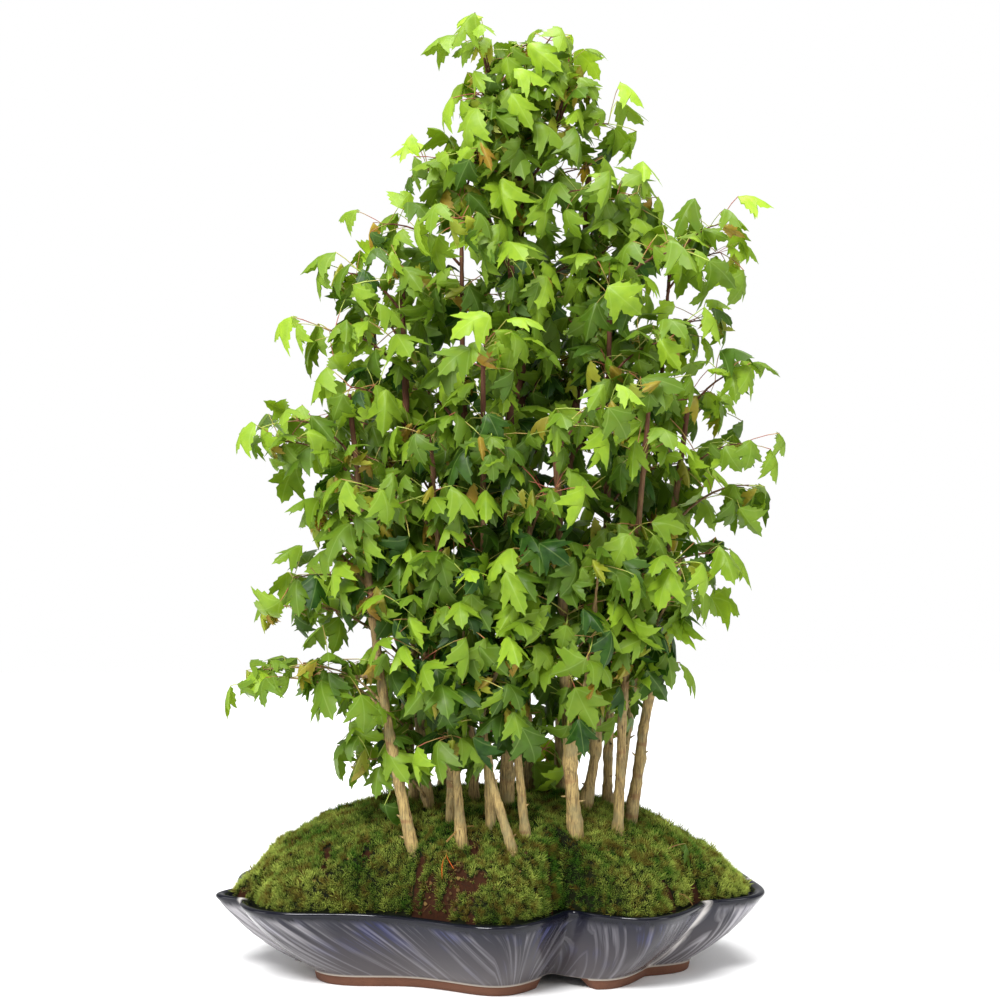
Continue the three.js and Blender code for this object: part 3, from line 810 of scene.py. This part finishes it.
# %% Dry litter
dry, tree, surface = start_material("dry_bark_and_straw", {"Specular IOR Level": 0.12})
tint = add(tree, "Attribute", {"attribute_name": "tint"}).outputs["Fac"]
place = add(tree, "TexCoord").outputs["Object"]
fleck = add(tree, "TexNoise", {"Scale": 1 / (1.5 * MM), "Detail": 3}, {"Vector": place}).outputs["Fac"]
tone = add(
    tree, "Mix", {"data_type": "RGBA", 6: linear("#22130a"), 7: linear("#b08d50")}, {0: tint}
).outputs[2]
tone = layered(tree, tone, "#a8511c", tint, 0.85, 0.95)
colour_and_gloss(tree, surface, tone, fleck, 0.6, 0.9)
make_piece("moss_litter", litter_mesh, ["moss_cover"], [dry])
print("litter triangles:", triangles(litter_mesh))

# %% [markdown]
# ## Trunks
# Young maples have thin, flaking, tan bark over grey, with fissures that run up the
# trunk and a ring wherever a pair of leaves once stood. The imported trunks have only
# seven sides, so each gets a copy that is merged, remeshed into one even skin of fine
# quads, smoothed, and then carved by noise: long ridges, leaf rings and knots.

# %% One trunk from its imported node
SKIN_VOXEL = 0.95 * MM
ROOT_FLARE = 0.042
TREE_NAMES = sorted(name for name in nodes if name.startswith("tree_"))
print("trunks:", len(TREE_NAMES))


def bark_relief(point, seed, thickness):
    """How far a point of the bark stands out, in mm. The point is in mm too."""
    ridges = noise.noise(Vector((point.x / 1.7, point.y / 1.7, point.z / 14 + seed)))
    flakes = noise.noise(Vector((point.x / 3.4, point.y / 3.4, point.z / 7 - seed)))
    wander = 9 * noise.noise(Vector((seed * 3.1, 0, point.z / 60)))
    spacing = 25 + 6 * math.sin(seed * 2.7)
    along = ((point.z + wander) % spacing) / spacing - 0.5
    ring = math.exp(-((along * spacing / 1.5) ** 2))
    burl = max(0, noise.noise(Vector((point.x / 9, point.y / 9, point.z / 17 + seed * 5))) - 0.12)
    return (0.24 * ridges + 0.5 * flakes + 0.3 * ring + 2.8 * burl + 0.5) * thickness


def grow_skin(name, seed):
    """The remeshed and carved copy of a packed trunk, as a mesh."""
    rough = bmesh.new()
    rough.from_mesh(nodes[name].data)
    bmesh.ops.remove_doubles(rough, verts=rough.verts, dist=1e-6)
    for layer in list(rough.loops.layers.uv.values()):
        rough.loops.layers.uv.remove(layer)
    holder = bpy.data.objects.new("rough", mesh_from(rough, "rough"))
    bpy.context.scene.collection.objects.link(holder)
    remesh = holder.modifiers.new("skin", "REMESH")
    remesh.mode = "VOXEL"
    remesh.voxel_size = SKIN_VOXEL
    ease = holder.modifiers.new("ease", "SMOOTH")
    ease.factor, ease.iterations = 0.5, 6
    graph = bpy.context.evaluated_depsgraph_get()
    skin = bpy.data.meshes.new_from_object(holder.evaluated_get(graph))
    bpy.data.objects.remove(holder)
    skin.name = name.replace("tree", "trunk")
    low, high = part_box(name)
    places = [vert.co.copy() for vert in skin.vertices]
    normals = [vert.normal.copy() for vert in skin.vertices]
    for vert, place, normal in zip(skin.vertices, places, normals):
        up_share = (place.z - low.z) / (high.z - low.z)
        thickness = 1.1 - 0.75 * up_share
        root = max(0, 1 - (place.z - low.z) / ROOT_FLARE)
        swell = bark_relief(place / MM, seed, thickness) + 2.2 * root * root
        vert.co = place + normal * swell * MM
    skin.shade_smooth()
    return skin


# %% [markdown]
# Bark colour comes from real layers: pale tan cork, grey where it has weathered, and
# red-brown where a flake has just come off. Stretching the noise nine to one along
# the trunk makes the fissures. Wood that's high up is this year's, so it turns
# red-brown.

# %% Bark
bark, tree, surface = start_material("flaking_maple_bark", {"Specular IOR Level": 0.35})
place = add(tree, "TexCoord").outputs["Object"]
long_map = add(
    tree, "Mapping", {"Scale": (1 / (1.1 * MM), 1 / (1.1 * MM), 1 / (10 * MM))}, {"Vector": place}
).outputs["Vector"]
fissures = add(
    tree, "TexNoise", {"Scale": 1.0, "Detail": 5, "Roughness": 0.65}, {"Vector": long_map}
).outputs["Fac"]
patches = add(
    tree, "TexNoise", {"Scale": 1 / (13 * MM), "Detail": 3}, {"Vector": place}
).outputs["Fac"]
band_map = add(
    tree, "Mapping", {"Scale": (1 / (60 * MM), 1 / (60 * MM), 1 / (9 * MM))}, {"Vector": place}
).outputs["Vector"]
bands = add(tree, "TexNoise", {"Scale": 1.0, "Detail": 3}, {"Vector": band_map}).outputs["Fac"]
open_share = add(
    tree, "MapRange", {"From Min": 0.3, "From Max": 0.62}, {"Value": fissures}
).outputs["Result"]
tan = add(
    tree, "Mix", {"data_type": "RGBA", 6: linear("#3b2814"), 7: linear("#a8905a")}, {0: open_share}
).outputs[2]
tone = layered(tree, tan, "#7a7350", patches, 0.48, 0.66, 0.6)
tone = layered(tree, tone, "#6e3c22", bands, 0.6, 0.7, 0.5)
high = add(tree, "SeparateXYZ", None, {"Vector": place}).outputs["Z"]
tone = layered(tree, tone, "#54291d", high, 0.19, 0.4, 0.9)
colour_and_gloss(tree, surface, tone, patches, 0.55, 0.85)
furrows = add(
    tree, "Bump", {"Strength": 0.7, "Distance": 0.5 * MM}, {"Height": fissures}
).outputs["Normal"]
tree.links.new(furrows, surface.inputs["Normal"])

# %% [markdown]
# Below the crown a young trunk still carries stubs where buds and twigs dropped off.
# They are short cones, set into the bark at random spots low on the trunk.

# %% Grow the nineteen trunks
SPURS = 6  # on each trunk
SPUR_LOW, SPUR_HIGH = 0.09, 0.32  # m
BARE_WOOD_TOP = 0.13  # m: no leafy shoot starts below this


def add_spurs(skin, seed):
    """Short dead spurs low on the trunk, where buds and twigs dropped off."""
    random.seed(seed)
    low_skin = [v for v in skin.vertices if SPUR_LOW < v.co.z < SPUR_HIGH]
    chosen = random.sample(low_skin, min(SPURS, len(low_skin)))
    spots = [(v.co.copy(), v.normal.copy()) for v in chosen]
    shape = bmesh.new()
    shape.from_mesh(skin)
    for spot, normal in spots:
        out = (normal + Vector((0, 0, random.uniform(0, 0.9)))).normalized()
        length = random.uniform(1.5, 5) * MM
        spur = bmesh.ops.create_cone(
            shape, cap_ends=True, segments=6, radius1=0.9 * MM, radius2=0.35 * MM, depth=length
        )["verts"]
        bmesh.ops.rotate(shape, verts=spur, matrix=out.to_track_quat("Z", "X").to_matrix())
        bmesh.ops.translate(shape, verts=spur, vec=spot + out * (length / 2 - 0.5 * MM))
    shape.to_mesh(skin)
    shape.free()


wood_points = []
for index, name in enumerate(TREE_NAMES):
    skin = grow_skin(name, index + 1)
    add_spurs(skin, index)
    make_piece(skin.name, skin, [name], [bark])
    wood_points += [v.co.copy() for v in skin.vertices[:][::5] if v.co.z > BARE_WOOD_TOP]
wood = kdtree.KDTree(len(wood_points))
for index, point in enumerate(wood_points):
    wood.insert(point, index)
wood.balance()
print("wood points:", len(wood_points))

# %% [markdown]
# ## Leaves
# A trident maple leaf has three forward lobes, finely toothed, on a thin stalk, and
# it hangs: the stalk lifts it clear of the twig and the blade droops and folds along
# its midrib. A leaf starts as a filled circle whose rim is drawn out to the leaf's
# outline. One more ring halfway in lets it bend. A few such leaves with different
# stalks, folds and droops are stamped over and over, so each has only a few dozen
# faces.

# %% The leaf
# The right edge from the stalk to the tip, as shares of the blade's length.
LEAF_EDGE = [
    (0.12, 0.01), (0.22, 0.08), (0.25, 0.15), (0.33, 0.24), (0.35, 0.33), (0.43, 0.43),
    (0.44, 0.52), (0.51, 0.70), (0.39, 0.655), (0.31, 0.59), (0.185, 0.55), (0.215, 0.65),
    (0.185, 0.74), (0.15, 0.84), (0.065, 0.93),
]
LEAF_RIM = [(0, 0)] + LEAF_EDGE + [(0, 1)] + [(-x, y) for x, y in reversed(LEAF_EDGE)]
TOOTH = 0.014
LEAF_HEART = 0.42


def bent(y, z, bend):
    """A point of a flat strip once the strip curls down by the bend in radians."""
    angle = bend * y
    along = math.sin(angle) / bend + z * math.sin(angle)
    up = (math.cos(angle) - 1) / bend + z * math.cos(angle)
    return along, up


def leaf_pattern(stalk, droop, fold, bend, curl, narrow=1.0):
    """A leaf as a mesh: stalk in blade lengths, its angles in radians."""
    leaf = bmesh.new()
    leaf_map = leaf.loops.layers.uv.new("leaf")
    leaf.verts.layers.float.new("tint")
    leaf.verts.layers.float.new("bronze")
    bmesh.ops.create_circle(leaf, cap_ends=True, cap_tris=True, segments=len(LEAF_RIM), radius=1)
    heart = max(leaf.verts, key=lambda v: len(v.link_edges))
    rim = [v for v in leaf.verts if v is not heart]
    rim.sort(key=lambda v: math.atan2(v.co.x, -v.co.y) % (2 * math.pi))
    for tooth, (vert, (x, y)) in enumerate(zip(rim, LEAF_RIM)):
        out = (Vector((x, y)) - Vector((0, LEAF_HEART))) * (1 + TOOTH * (-1) ** tooth / 0.3)
        vert.co = (out.x * narrow, out.y + LEAF_HEART, 0)
    heart.co = (0, LEAF_HEART, 0)
    bmesh.ops.subdivide_edges(leaf, edges=list(heart.link_edges), cuts=1)
    bmesh.ops.recalc_face_normals(leaf, faces=leaf.faces)
    if leaf.faces[0].normal.z < 0:
        bmesh.ops.reverse_faces(leaf, faces=leaf.faces)
    for face in leaf.faces:
        face.smooth = True
        for loop in face.loops:
            loop[leaf_map].uv = (0.5 + loop.vert.co.x / 2, loop.vert.co.y)
    for vert in leaf.verts:
        x, y = vert.co.x, vert.co.y
        z = -fold * abs(x) - curl * x * x + 0.03 * math.sin(9 * x + 5 * y)
        y, z = bent(y, z, bend)
        vert.co = (x * math.cos(fold * 0.9), y, z)
    bmesh.ops.rotate(leaf, verts=leaf.verts, matrix=Matrix.Rotation(-droop, 3, "X"))
    end = Vector((0, stalk * 0.94, stalk * 0.2))
    bmesh.ops.translate(leaf, verts=leaf.verts, vec=end)
    path = [Vector((0, end.y * t, end.z * math.sin(t * math.pi / 2))) for t in (0, 0.35, 0.7, 1)]
    for a, b in zip(path, path[1:]):
        piece = cone_between(leaf, a, b, 3, 0.0135, 0.0125, 1.06, capped=False)
        for face in {f for v in piece for f in v.link_faces}:
            face.material_index = 1
            face.smooth = True
    return mesh_from(leaf, "leaf_pattern")


# Stalk, droop, fold, bend, curl and, for a slim leaf, how narrow.
LEAVES = [
    leaf_pattern(0.5, 0.75, 0.3, 0.6, 0.3),
    leaf_pattern(0.75, 1.15, 0.55, 0.9, 0.4, 0.9),
    leaf_pattern(1.0, 0.5, 0.2, 1.1, 0.2),
    leaf_pattern(0.65, 1.3, 0.75, 0.5, 0.5, 0.8),
    leaf_pattern(0.85, 0.9, 0.2, 1.4, 0.5),
    leaf_pattern(1.25, 1.35, 0.6, 0.7, 0.4, 0.9),
    leaf_pattern(0.4, 0.3, 0.35, 1.0, 0.2),
    leaf_pattern(0.9, 0.65, 0.65, 0.8, 0.6),
]
YOUNG_LEAVES = [
    leaf_pattern(0.6, 1.35, 0.95, 0.5, 0.8, 0.7),
    leaf_pattern(0.45, 1.15, 0.8, 0.9, 0.9, 0.75),
]
print("leaf faces:", [len(pattern.polygons) for pattern in LEAVES])

# %% [markdown]
# A living leaf is part mirror and part lampshade: a waxy skin that reflects the sky,
# over tissue that glows yellow-green when light comes through. So the material mixes
# a Principled surface with a Translucent one. The veins are paler lines that fan from
# the stalk, measured in the leaf's own map.

# %% Leaf blades
leaf_skin, tree, surface = start_material(
    "waxy_maple_leaf", {"Specular IOR Level": 0.32, "IOR": 1.45}
)
tint = add(tree, "Attribute", {"attribute_name": "tint"}).outputs["Fac"]
bronze = add(tree, "Attribute", {"attribute_name": "bronze"}).outputs["Fac"]
flat = add(tree, "UVMap", {"uv_map": "leaf"}).outputs["UV"]
centred = add(
    tree, "Mapping", {"Location": (-1, 0, 0), "Scale": (2, 1, 1)}, {"Vector": flat}
).outputs["Vector"]
vein = None
for lean in (-0.72, 0.0, 0.72):
    across = add(
        tree, "VectorMath",
        {"operation": "DOT_PRODUCT", 1: (math.cos(lean), -math.sin(lean), 0)}, {0: centred},
    ).outputs["Value"]
    away = add(tree, "Math", {"operation": "ABSOLUTE"}, {0: across}).outputs["Value"]
    if vein is None:
        vein = away
    else:
        vein = add(tree, "Math", {"operation": "MINIMUM"}, {0: vein, 1: away}).outputs["Value"]
place = add(tree, "TexCoord").outputs["Object"]
blotch = add(
    tree, "TexNoise", {"Scale": 1 / (7 * MM), "Detail": 4}, {"Vector": place}
).outputs["Fac"]
# Painted light and shade: a low tint gives the dark green of shade deep in the crown, a high tint the
# light green of lit leaves high and outside; the tint also varies at random and rises towards each
# shoot's end.
green_in_painted_light = add(
    tree, "Mix", {"data_type": "RGBA", 6: linear("#1b3c08"), 7: linear("#9fc032")}, {0: tint}
).outputs[2]
green_in_painted_light = layered(tree, green_in_painted_light, "#4f7d22", blotch, 0.35, 0.7, 0.3)
rust = add(
    tree, "Mix", {"data_type": "RGBA", 6: linear("#b9a338"), 7: linear("#8f4a24")}, {0: blotch}
).outputs[2]
tone = add(tree, "Mix", {"data_type": "RGBA"}, {0: bronze, 6: green_in_painted_light, 7: rust}).outputs[2]
# The veins are pale where their distance is near nothing.
tone = layered(tree, tone, "#b6cf7c", vein, 0.02, 0.004, 0.14)
colour_and_gloss(tree, surface, tone, blotch, 0.36, 0.55)
quilt = add(tree, "Bump", {"Strength": 0.35, "Distance": 0.5 * MM}, {"Height": vein}).outputs["Normal"]
tree.links.new(quilt, surface.inputs["Normal"])
glow = add(
    tree, "Mix", {"data_type": "RGBA", "blend_type": "MULTIPLY", 0: 1.0, 7: (1.0, 1.0, 0.45, 1)},
    {6: tone},
).outputs[2]
lit_through = add(tree, "BsdfTranslucent", None, {"Color": glow, "Normal": quilt})
blade = add(
    tree, "MixShader", {0: 0.32}, {1: surface.outputs["BSDF"], 2: lit_through.outputs["BSDF"]}
)
output = next(n for n in tree.nodes if n.type == "OUTPUT_MATERIAL")
tree.links.new(blade.outputs["Shader"], output.inputs["Surface"])

# %% Leaf stalks
stalk_skin, tree, surface = start_material("leaf_stalk", {"Specular IOR Level": 0.4})
place = add(tree, "TexCoord").outputs["Object"]
flush = add(tree, "TexNoise", {"Scale": 1 / (22 * MM), "Detail": 2}, {"Vector": place}).outputs["Fac"]
red = add(
    tree, "MapRange", {"From Min": 0.42, "From Max": 0.62}, {"Value": flush}
).outputs["Result"]
tone = add(
    tree, "Mix", {"data_type": "RGBA", 6: linear("#9fb04c"), 7: linear("#9c5340")}, {0: red}
).outputs[2]
colour_and_gloss(tree, surface, tone, flush, 0.4, 0.6)

# %% [markdown]
# ## Leafy shoots
# Each shoot leaves the wood, climbs, and bows over. It bears its leaves in opposite
# pairs, each pair a quarter turn from the last, as every maple does. The shoots' ends
# are spread evenly through the crown, whose width at each height is set below, and
# each shoot starts from the nearest wood beneath its end.

# %% The crown's outline
# Height, left edge, right edge and half depth of the leaves, in mm.
CROWN = [
    (205, -150, 125, 95), (240, -172, 170, 120), (285, -180, 182, 138), (330, -172, 198, 142),
    (385, -168, 200, 144), (440, -158, 194, 140), (490, -146, 188, 128), (540, -136, 180, 108),
    (572, -104, 156, 84), (600, -40, 108, 60), (640, -34, 76, 44), (690, 14, 44, 24),
]
LEAF_REACH = 27
SHOOT_COUNT = 212
LOWEST_END, ENDS_SPAN = 215, 455  # mm
LOW_CROWN = 290  # half of the shoots below this are left out, so the trunks show
SHORTEST_LEADER, TIP_GAP = 0.2, 0.02  # m


def halton(index, base):
    """A number from 0 to 1 that fills the range evenly as the index counts up."""
    share, result = 1.0, 0.0
    while index:
        share /= base
        result += share * (index % base)
        index //= base
    return result


def crown_row(z):
    """Left edge, right edge and half depth at a height, in mm."""
    rows = [[(row[0], row[i]) for row in CROWN] for i in (1, 2, 3)]
    return [between(row, z) for row in rows]


# Ends of shoots that stand out on their own, in mm: the long low arm, the high arm,
# the top sprays and the tips at both shoulders.
LONE_ENDS = [
    (-166, -50, 226), (-178, -60, 218), (-158, -30, 268), (-152, -70, 388), (-140, -60, 402),
    (-94, -60, 164), (-80, -50, 176), (20, 10, 668), (36, 6, 672), (-14, 6, 634),
    (48, 12, 652), (78, 20, 612), (158, 22, 540), (160, 30, 520), (172, -16, 436),
    (172, -20, 384), (180, 10, 352), (-84, 10, 540), (-110, 0, 505), (120, -20, 268),
    (112, -10, 246), (-146, -40, 290),
    (-34, -78, 184), (6, -72, 196), (28, 20, 160), (60, -66, 210), (-60, 10, 186),
    (-98, -44, 200), (-40, 40, 176), (70, 50, 186),
]
ends = [Vector(end) for end in LONE_ENDS]
# Every leader and side branch ends in a shoot: its end is a point of the solid model
# that none of its neighbours tops.
for name in TREE_NAMES:
    wood_mesh = nodes[name].data
    points = [v.co.copy() for v in wood_mesh.vertices]
    topped = {min(edge.vertices, key=lambda i: points[i].z) for edge in wood_mesh.edges}
    tips = []
    for i, point in enumerate(points):
        apart = all((point - tip).length > TIP_GAP for tip in tips)
        if i not in topped and point.z > SHORTEST_LEADER and apart:
            tips.append(point)
            ends.append((point - CENTRE) / MM + Vector((0, -8, 5)))
trial = 0
while len(ends) < SHOOT_COUNT:
    trial += 1
    z = LOWEST_END + ENDS_SPAN * halton(trial, 2)
    left, right, deep = crown_row(z)
    half = (right - left) / 2 - LEAF_REACH
    if half < 6 or halton(trial, 7) > (half / 160) ** 0.8:
        continue
    if z < LOW_CROWN and halton(trial, 11) > 0.5:
        continue
    angle = 2 * math.pi * halton(trial, 3)
    out = halton(trial, 5) ** 0.42
    x = (left + right) / 2 + math.cos(angle) * out * half
    y = math.sin(angle) * out * max(8, deep - LEAF_REACH)
    ends.append(Vector((x, y, z)))
print("shoots:", len(ends), "after", trial, "trials")

# %% Grow the shoots
FOLIAGE_NAMES = sorted(name for name in nodes if name.startswith("foliage_"))
middles = {name: sum(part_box(name), Vector()) / 2 for name in FOLIAGE_NAMES}


def owner_of(goal):
    """The foliage group whose middle is nearest to a shoot's end."""
    return min(FOLIAGE_NAMES, key=lambda name: (middles[name] - goal).length)


# A group that got no shoot gets one at its middle.
served = {owner_of(CENTRE + end * MM) for end in ends}
ends += [(middles[name] - CENTRE) / MM for name in FOLIAGE_NAMES if name not in served]
sprays = {name: bmesh.new() for name in FOLIAGE_NAMES}
for spray in sprays.values():
    spray.from_mesh(LEAVES[0])
    bmesh.ops.delete(spray, geom=spray.verts[:], context="VERTS")
NODES = (0.4, 0.56, 0.7, 0.83, 0.94)
TWIG_STEPS = 7
INWARD, SEAT_DROP = 0.35, 0.03  # where the wood is looked for, seen from the shoot's end
LIFT_AT, LIFT = 0.45, 0.28  # where a shoot is lifted along its span, and how much
TWIG_BARK = 2  # the bark's place in a shoot's list of materials
YOUNG_SHARE = 0.45
PAIR_SIZES, END_SIZES, YOUNG_SIZES = (22, 39), (24, 36), (17, 24)
leaf_count = 0


def bow(seat, lift, goal, t):
    """A point of the shoot's curve, from its seat at 0 to its end at 1."""
    return seat * (1 - t) ** 2 + lift * 2 * t * (1 - t) + goal * t * t


def add_twig(spray, path, thick, thin):
    """A tapering round twig of short cones, each a little longer than its gap."""
    steps = len(path) - 1
    for step, (a, b) in enumerate(zip(path, path[1:])):
        radius_a = thick + (thin - thick) * step / steps
        radius_b = thick + (thin - thick) * (step + 1) / steps
        part = cone_between(spray, a, b, 6, radius_a, radius_b, 1.04)
        for face in {f for v in part for f in v.link_faces}:
            face.material_index = TWIG_BARK
            face.smooth = len(face.verts) == 4


def add_leaf(spray, at, heading, size, tint, young):
    """Stamps one leaf that grows from a point towards a heading."""
    pattern = random.choice(YOUNG_LEAVES if young else LEAVES)
    turn = Matrix.Rotation(heading - math.pi / 2, 4, "Z")
    nod = Matrix.Rotation(random.gauss(0.05, 0.5), 4, "X")
    roll = Matrix.Rotation(random.gauss(0, 0.55), 4, "Y")
    matrix = Matrix.Translation(at) @ turn @ (nod @ roll) @ Matrix.Scale(size * MM, 4)
    stamp(spray, pattern, matrix, {"tint": tint, "bronze": young})


random.seed(11)
for end in ends:
    goal = CENTRE + end * MM
    outward = Vector((goal.x - CENTRE.x, goal.y - CENTRE.y, 0)) * INWARD
    seat = wood.find(goal - outward - Vector((0, 0, SEAT_DROP)))[0]
    span = (goal - seat).length
    lift = seat.lerp(goal, LIFT_AT) + Vector((0, 0, LIFT * span))
    path = [bow(seat, lift, goal, step / TWIG_STEPS) for step in range(TWIG_STEPS + 1)]
    spray = sprays[owner_of(goal)]
    add_twig(spray, path, min(1.3, 0.6 + span * 9) * MM, 0.5 * MM)
    # Painted light: shoots high in the crown and near its sides get lighter leaves, low and inner ones
    # darker, shaded ones.
    left, right, _ = crown_row(end.z)
    openness = abs(end.x - (left + right) / 2) / max(30, (right - left) / 2)
    painted_light = 0.08 + 0.25 * max(0, (end.z - 330) / 340) + 0.2 * openness
    twist = random.uniform(0, math.pi)
    main = math.atan2(goal.y - seat.y, goal.x - seat.x)
    for row, share in enumerate(NODES):
        spot = bow(seat, lift, goal, share)
        for side in (0, math.pi):
            heading = main + math.pi / 2 * (row % 2) + side + random.gauss(0, 0.35) + twist * 0.3
            size = random.uniform(*PAIR_SIZES) * (1.05 - 0.3 * share)
            tint = min(1, max(0, random.gauss(painted_light + 0.15 * share, 0.2)))
            add_leaf(spray, spot, heading, size, tint, 0.0)
            leaf_count += 1
    for sprig in range(3):
        young = random.random() < YOUNG_SHARE
        heading = main + (sprig - 1) * 1.2 + random.gauss(0, 0.3)
        size = random.uniform(*(YOUNG_SIZES if young else END_SIZES))
        tint = min(1, max(0, random.gauss(painted_light + 0.4, 0.2)))
        add_leaf(spray, goal, heading, size, tint, random.uniform(0.2, 0.95) if young else 0.0)
        leaf_count += 1
# One leaf has dropped on the moss near the right end. It goes with the last group.
fallen = on_moss(120, -30)[0] + Vector((0, 0, 3))
add_leaf(spray, CENTRE + fallen * MM, 0.4, 24, 0.15, 0.0)
shoot_triangles = 0
for name, spray in sprays.items():
    mesh = mesh_from(spray, name.replace("foliage", "leafy_shoots"))
    make_piece(mesh.name, mesh, [name], [leaf_skin, stalk_skin, bark])
    shoot_triangles += triangles(mesh)
print("leaves:", leaf_count, "triangles:", shoot_triangles)

# %% [markdown]
# ## Under the soil
# A square of moulded plastic mesh covers each drain hole, and a bent aluminium wire
# holds it. Pumice gravel lies over both. These keep their shapes from the solid model,
# and show once the tray is emptied.

# %% Drain mesh, wire clips and gravel
plastic, tree, surface = start_material("moulded_polythene_mesh", {"Specular IOR Level": 0.4})
place = add(tree, "TexCoord").outputs["Object"]
flow = add(tree, "TexNoise", {"Scale": 1 / (8 * MM), "Detail": 3}, {"Vector": place}).outputs["Fac"]
tone = add(
    tree, "Mix", {"data_type": "RGBA", 6: linear("#151716"), 7: linear("#2b2e2c")}, {0: flow}
).outputs[2]
colour_and_gloss(tree, surface, tone, flow, 0.4, 0.6)

wire, tree, surface = start_material("drawn_aluminium_wire", {"Metallic": 1.0})
place = add(tree, "TexCoord").outputs["Object"]
draw_marks = add(
    tree, "TexNoise", {"Scale": 1 / (0.6 * MM), "Detail": 2}, {"Vector": place}
).outputs["Fac"]
tone = add(
    tree, "Mix", {"data_type": "RGBA", 6: linear("#a4a6a8"), 7: linear("#c9cacb")}, {0: draw_marks}
).outputs[2]
colour_and_gloss(tree, surface, tone, draw_marks, 0.28, 0.45)

pumice, tree, surface = start_material("crushed_pumice_gravel", {"Specular IOR Level": 0.2})
place = add(tree, "TexCoord").outputs["Object"]
# Each cell is one stone, about 4 mm across.
stones = add(tree, "TexVoronoi", {"Scale": 1 / (4 * MM)}, {"Vector": place})
stone_tint = add(tree, "SeparateColor", None, {"Color": stones.outputs["Color"]}).outputs["Red"]
tone = add(
    tree, "Mix", {"data_type": "RGBA", 6: linear("#6f675a"), 7: linear("#c2b79f")}, {0: stone_tint}
).outputs[2]
colour_and_gloss(tree, surface, tone, stone_tint, 0.75, 0.95)
rounded_stones = add(
    tree, "Bump", {"Strength": 0.8, "Distance": 1.5 * MM, "invert": True},
    {"Height": stones.outputs["Distance"]},
).outputs["Normal"]
tree.links.new(rounded_stones, surface.inputs["Normal"])

HIDDEN = {
    "drain_mesh_left": plastic, "drain_mesh_right": plastic, "mesh_clip_left": wire,
    "mesh_clip_right": wire, "drainage_gravel": pumice,
}
for name, material in HIDDEN.items():
    nodes[name].data.materials.clear()
    nodes[name].data.materials.append(material)
print("hidden parts coloured:", len(HIDDEN))

# %% [markdown]
# ## Floor, light and camera
# A white floor and four broad lamps stand in for a product table. The key hangs high
# and a little to the left, the top lamp lights the crown from above, and the two side
# lamps draw the bright lines on the lip.

# %% Floor
floor_shape = bmesh.new()
bmesh.ops.create_grid(floor_shape, x_segments=1, y_segments=1, size=1.5)
floor_piece = bpy.data.objects.new("studio_floor", mesh_from(floor_shape, "studio_floor"))
bpy.context.scene.collection.objects.link(floor_piece)
paper, tree, surface = start_material("white_studio_paper", {"Roughness": 0.9})
place = add(tree, "TexCoord").outputs["Object"]
grain = add(tree, "TexNoise", {"Scale": 1 / (2 * MM)}, {"Vector": place})
shade = add(
    tree, "Mix", {"data_type": "RGBA", 6: linear("#f6f6f6"), 7: linear("#fafafa")},
    {0: grain.outputs["Fac"]},
)
tree.links.new(shade.outputs[2], surface.inputs["Base Color"])
floor_piece.data.materials.append(paper)
floor_piece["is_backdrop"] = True

# %% Lights
world = bpy.data.worlds.new("studio")
world.use_nodes = True
sky = world.node_tree.nodes["Background"]
seen = add(world.node_tree, "LightPath").outputs["Is Camera Ray"]
strength = add(
    world.node_tree, "MapRange", {"To Min": 0.5, "To Max": 1.0}, {"Value": seen}
).outputs["Result"]
sky.inputs["Color"].default_value = (1, 1, 1, 1)
world.node_tree.links.new(strength, sky.inputs["Strength"])
bpy.context.scene.world = world
bpy.context.scene.view_settings.view_transform = "Standard"
LAMPS = [
    ("key_lamp", (-0.7, -1.5, 1.9), 0.8, 74),
    ("side_lamp_left", (-1.9, -0.6, 0.7), 0.9, 10),
    ("side_lamp_right", (1.8, -0.9, 0.9), 0.9, 12),
    ("top_lamp", (0.2, 0.3, 2.2), 1.1, 44),
]
for name, place, size, power in LAMPS:
    light = bpy.data.lights.new(name, "AREA")
    light.shape = "SQUARE"
    light.size = size
    light.energy = power
    lamp = bpy.data.objects.new(name, light)
    lamp.location = place
    aim = Vector((0, 0, 0.3)) - Vector(place)
    lamp.rotation_euler = aim.to_track_quat("-Z", "Y").to_euler()
    bpy.context.scene.collection.objects.link(lamp)
print("lamps:", len(LAMPS))

# %% Camera
CAMERA_BACK, CAMERA_HEIGHT, AIM_HEIGHT = 1.9, 0.49, 0.342
VIEW_WIDTH = 0.72
camera_data = bpy.data.cameras.new("camera")
camera = bpy.data.objects.new("camera", camera_data)
camera.location = CENTRE + Vector((0, -CAMERA_BACK, CAMERA_HEIGHT))
aim = CENTRE + Vector((0, 0, AIM_HEIGHT)) - camera.location
camera.rotation_euler = aim.to_track_quat("-Z", "Y").to_euler()
camera_data.sensor_width = 36
camera_data.lens = camera_data.sensor_width * aim.length / VIEW_WIDTH
bpy.context.scene.collection.objects.link(camera)
bpy.context.scene.camera = camera
print("lens:", round(camera_data.lens), "mm")

# %% Sizes
low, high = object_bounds()
grown = [[round(v / MM, 1) for v in side] for side in (cad_low - low, high - cad_high)]
print("grown by mm:", *grown)
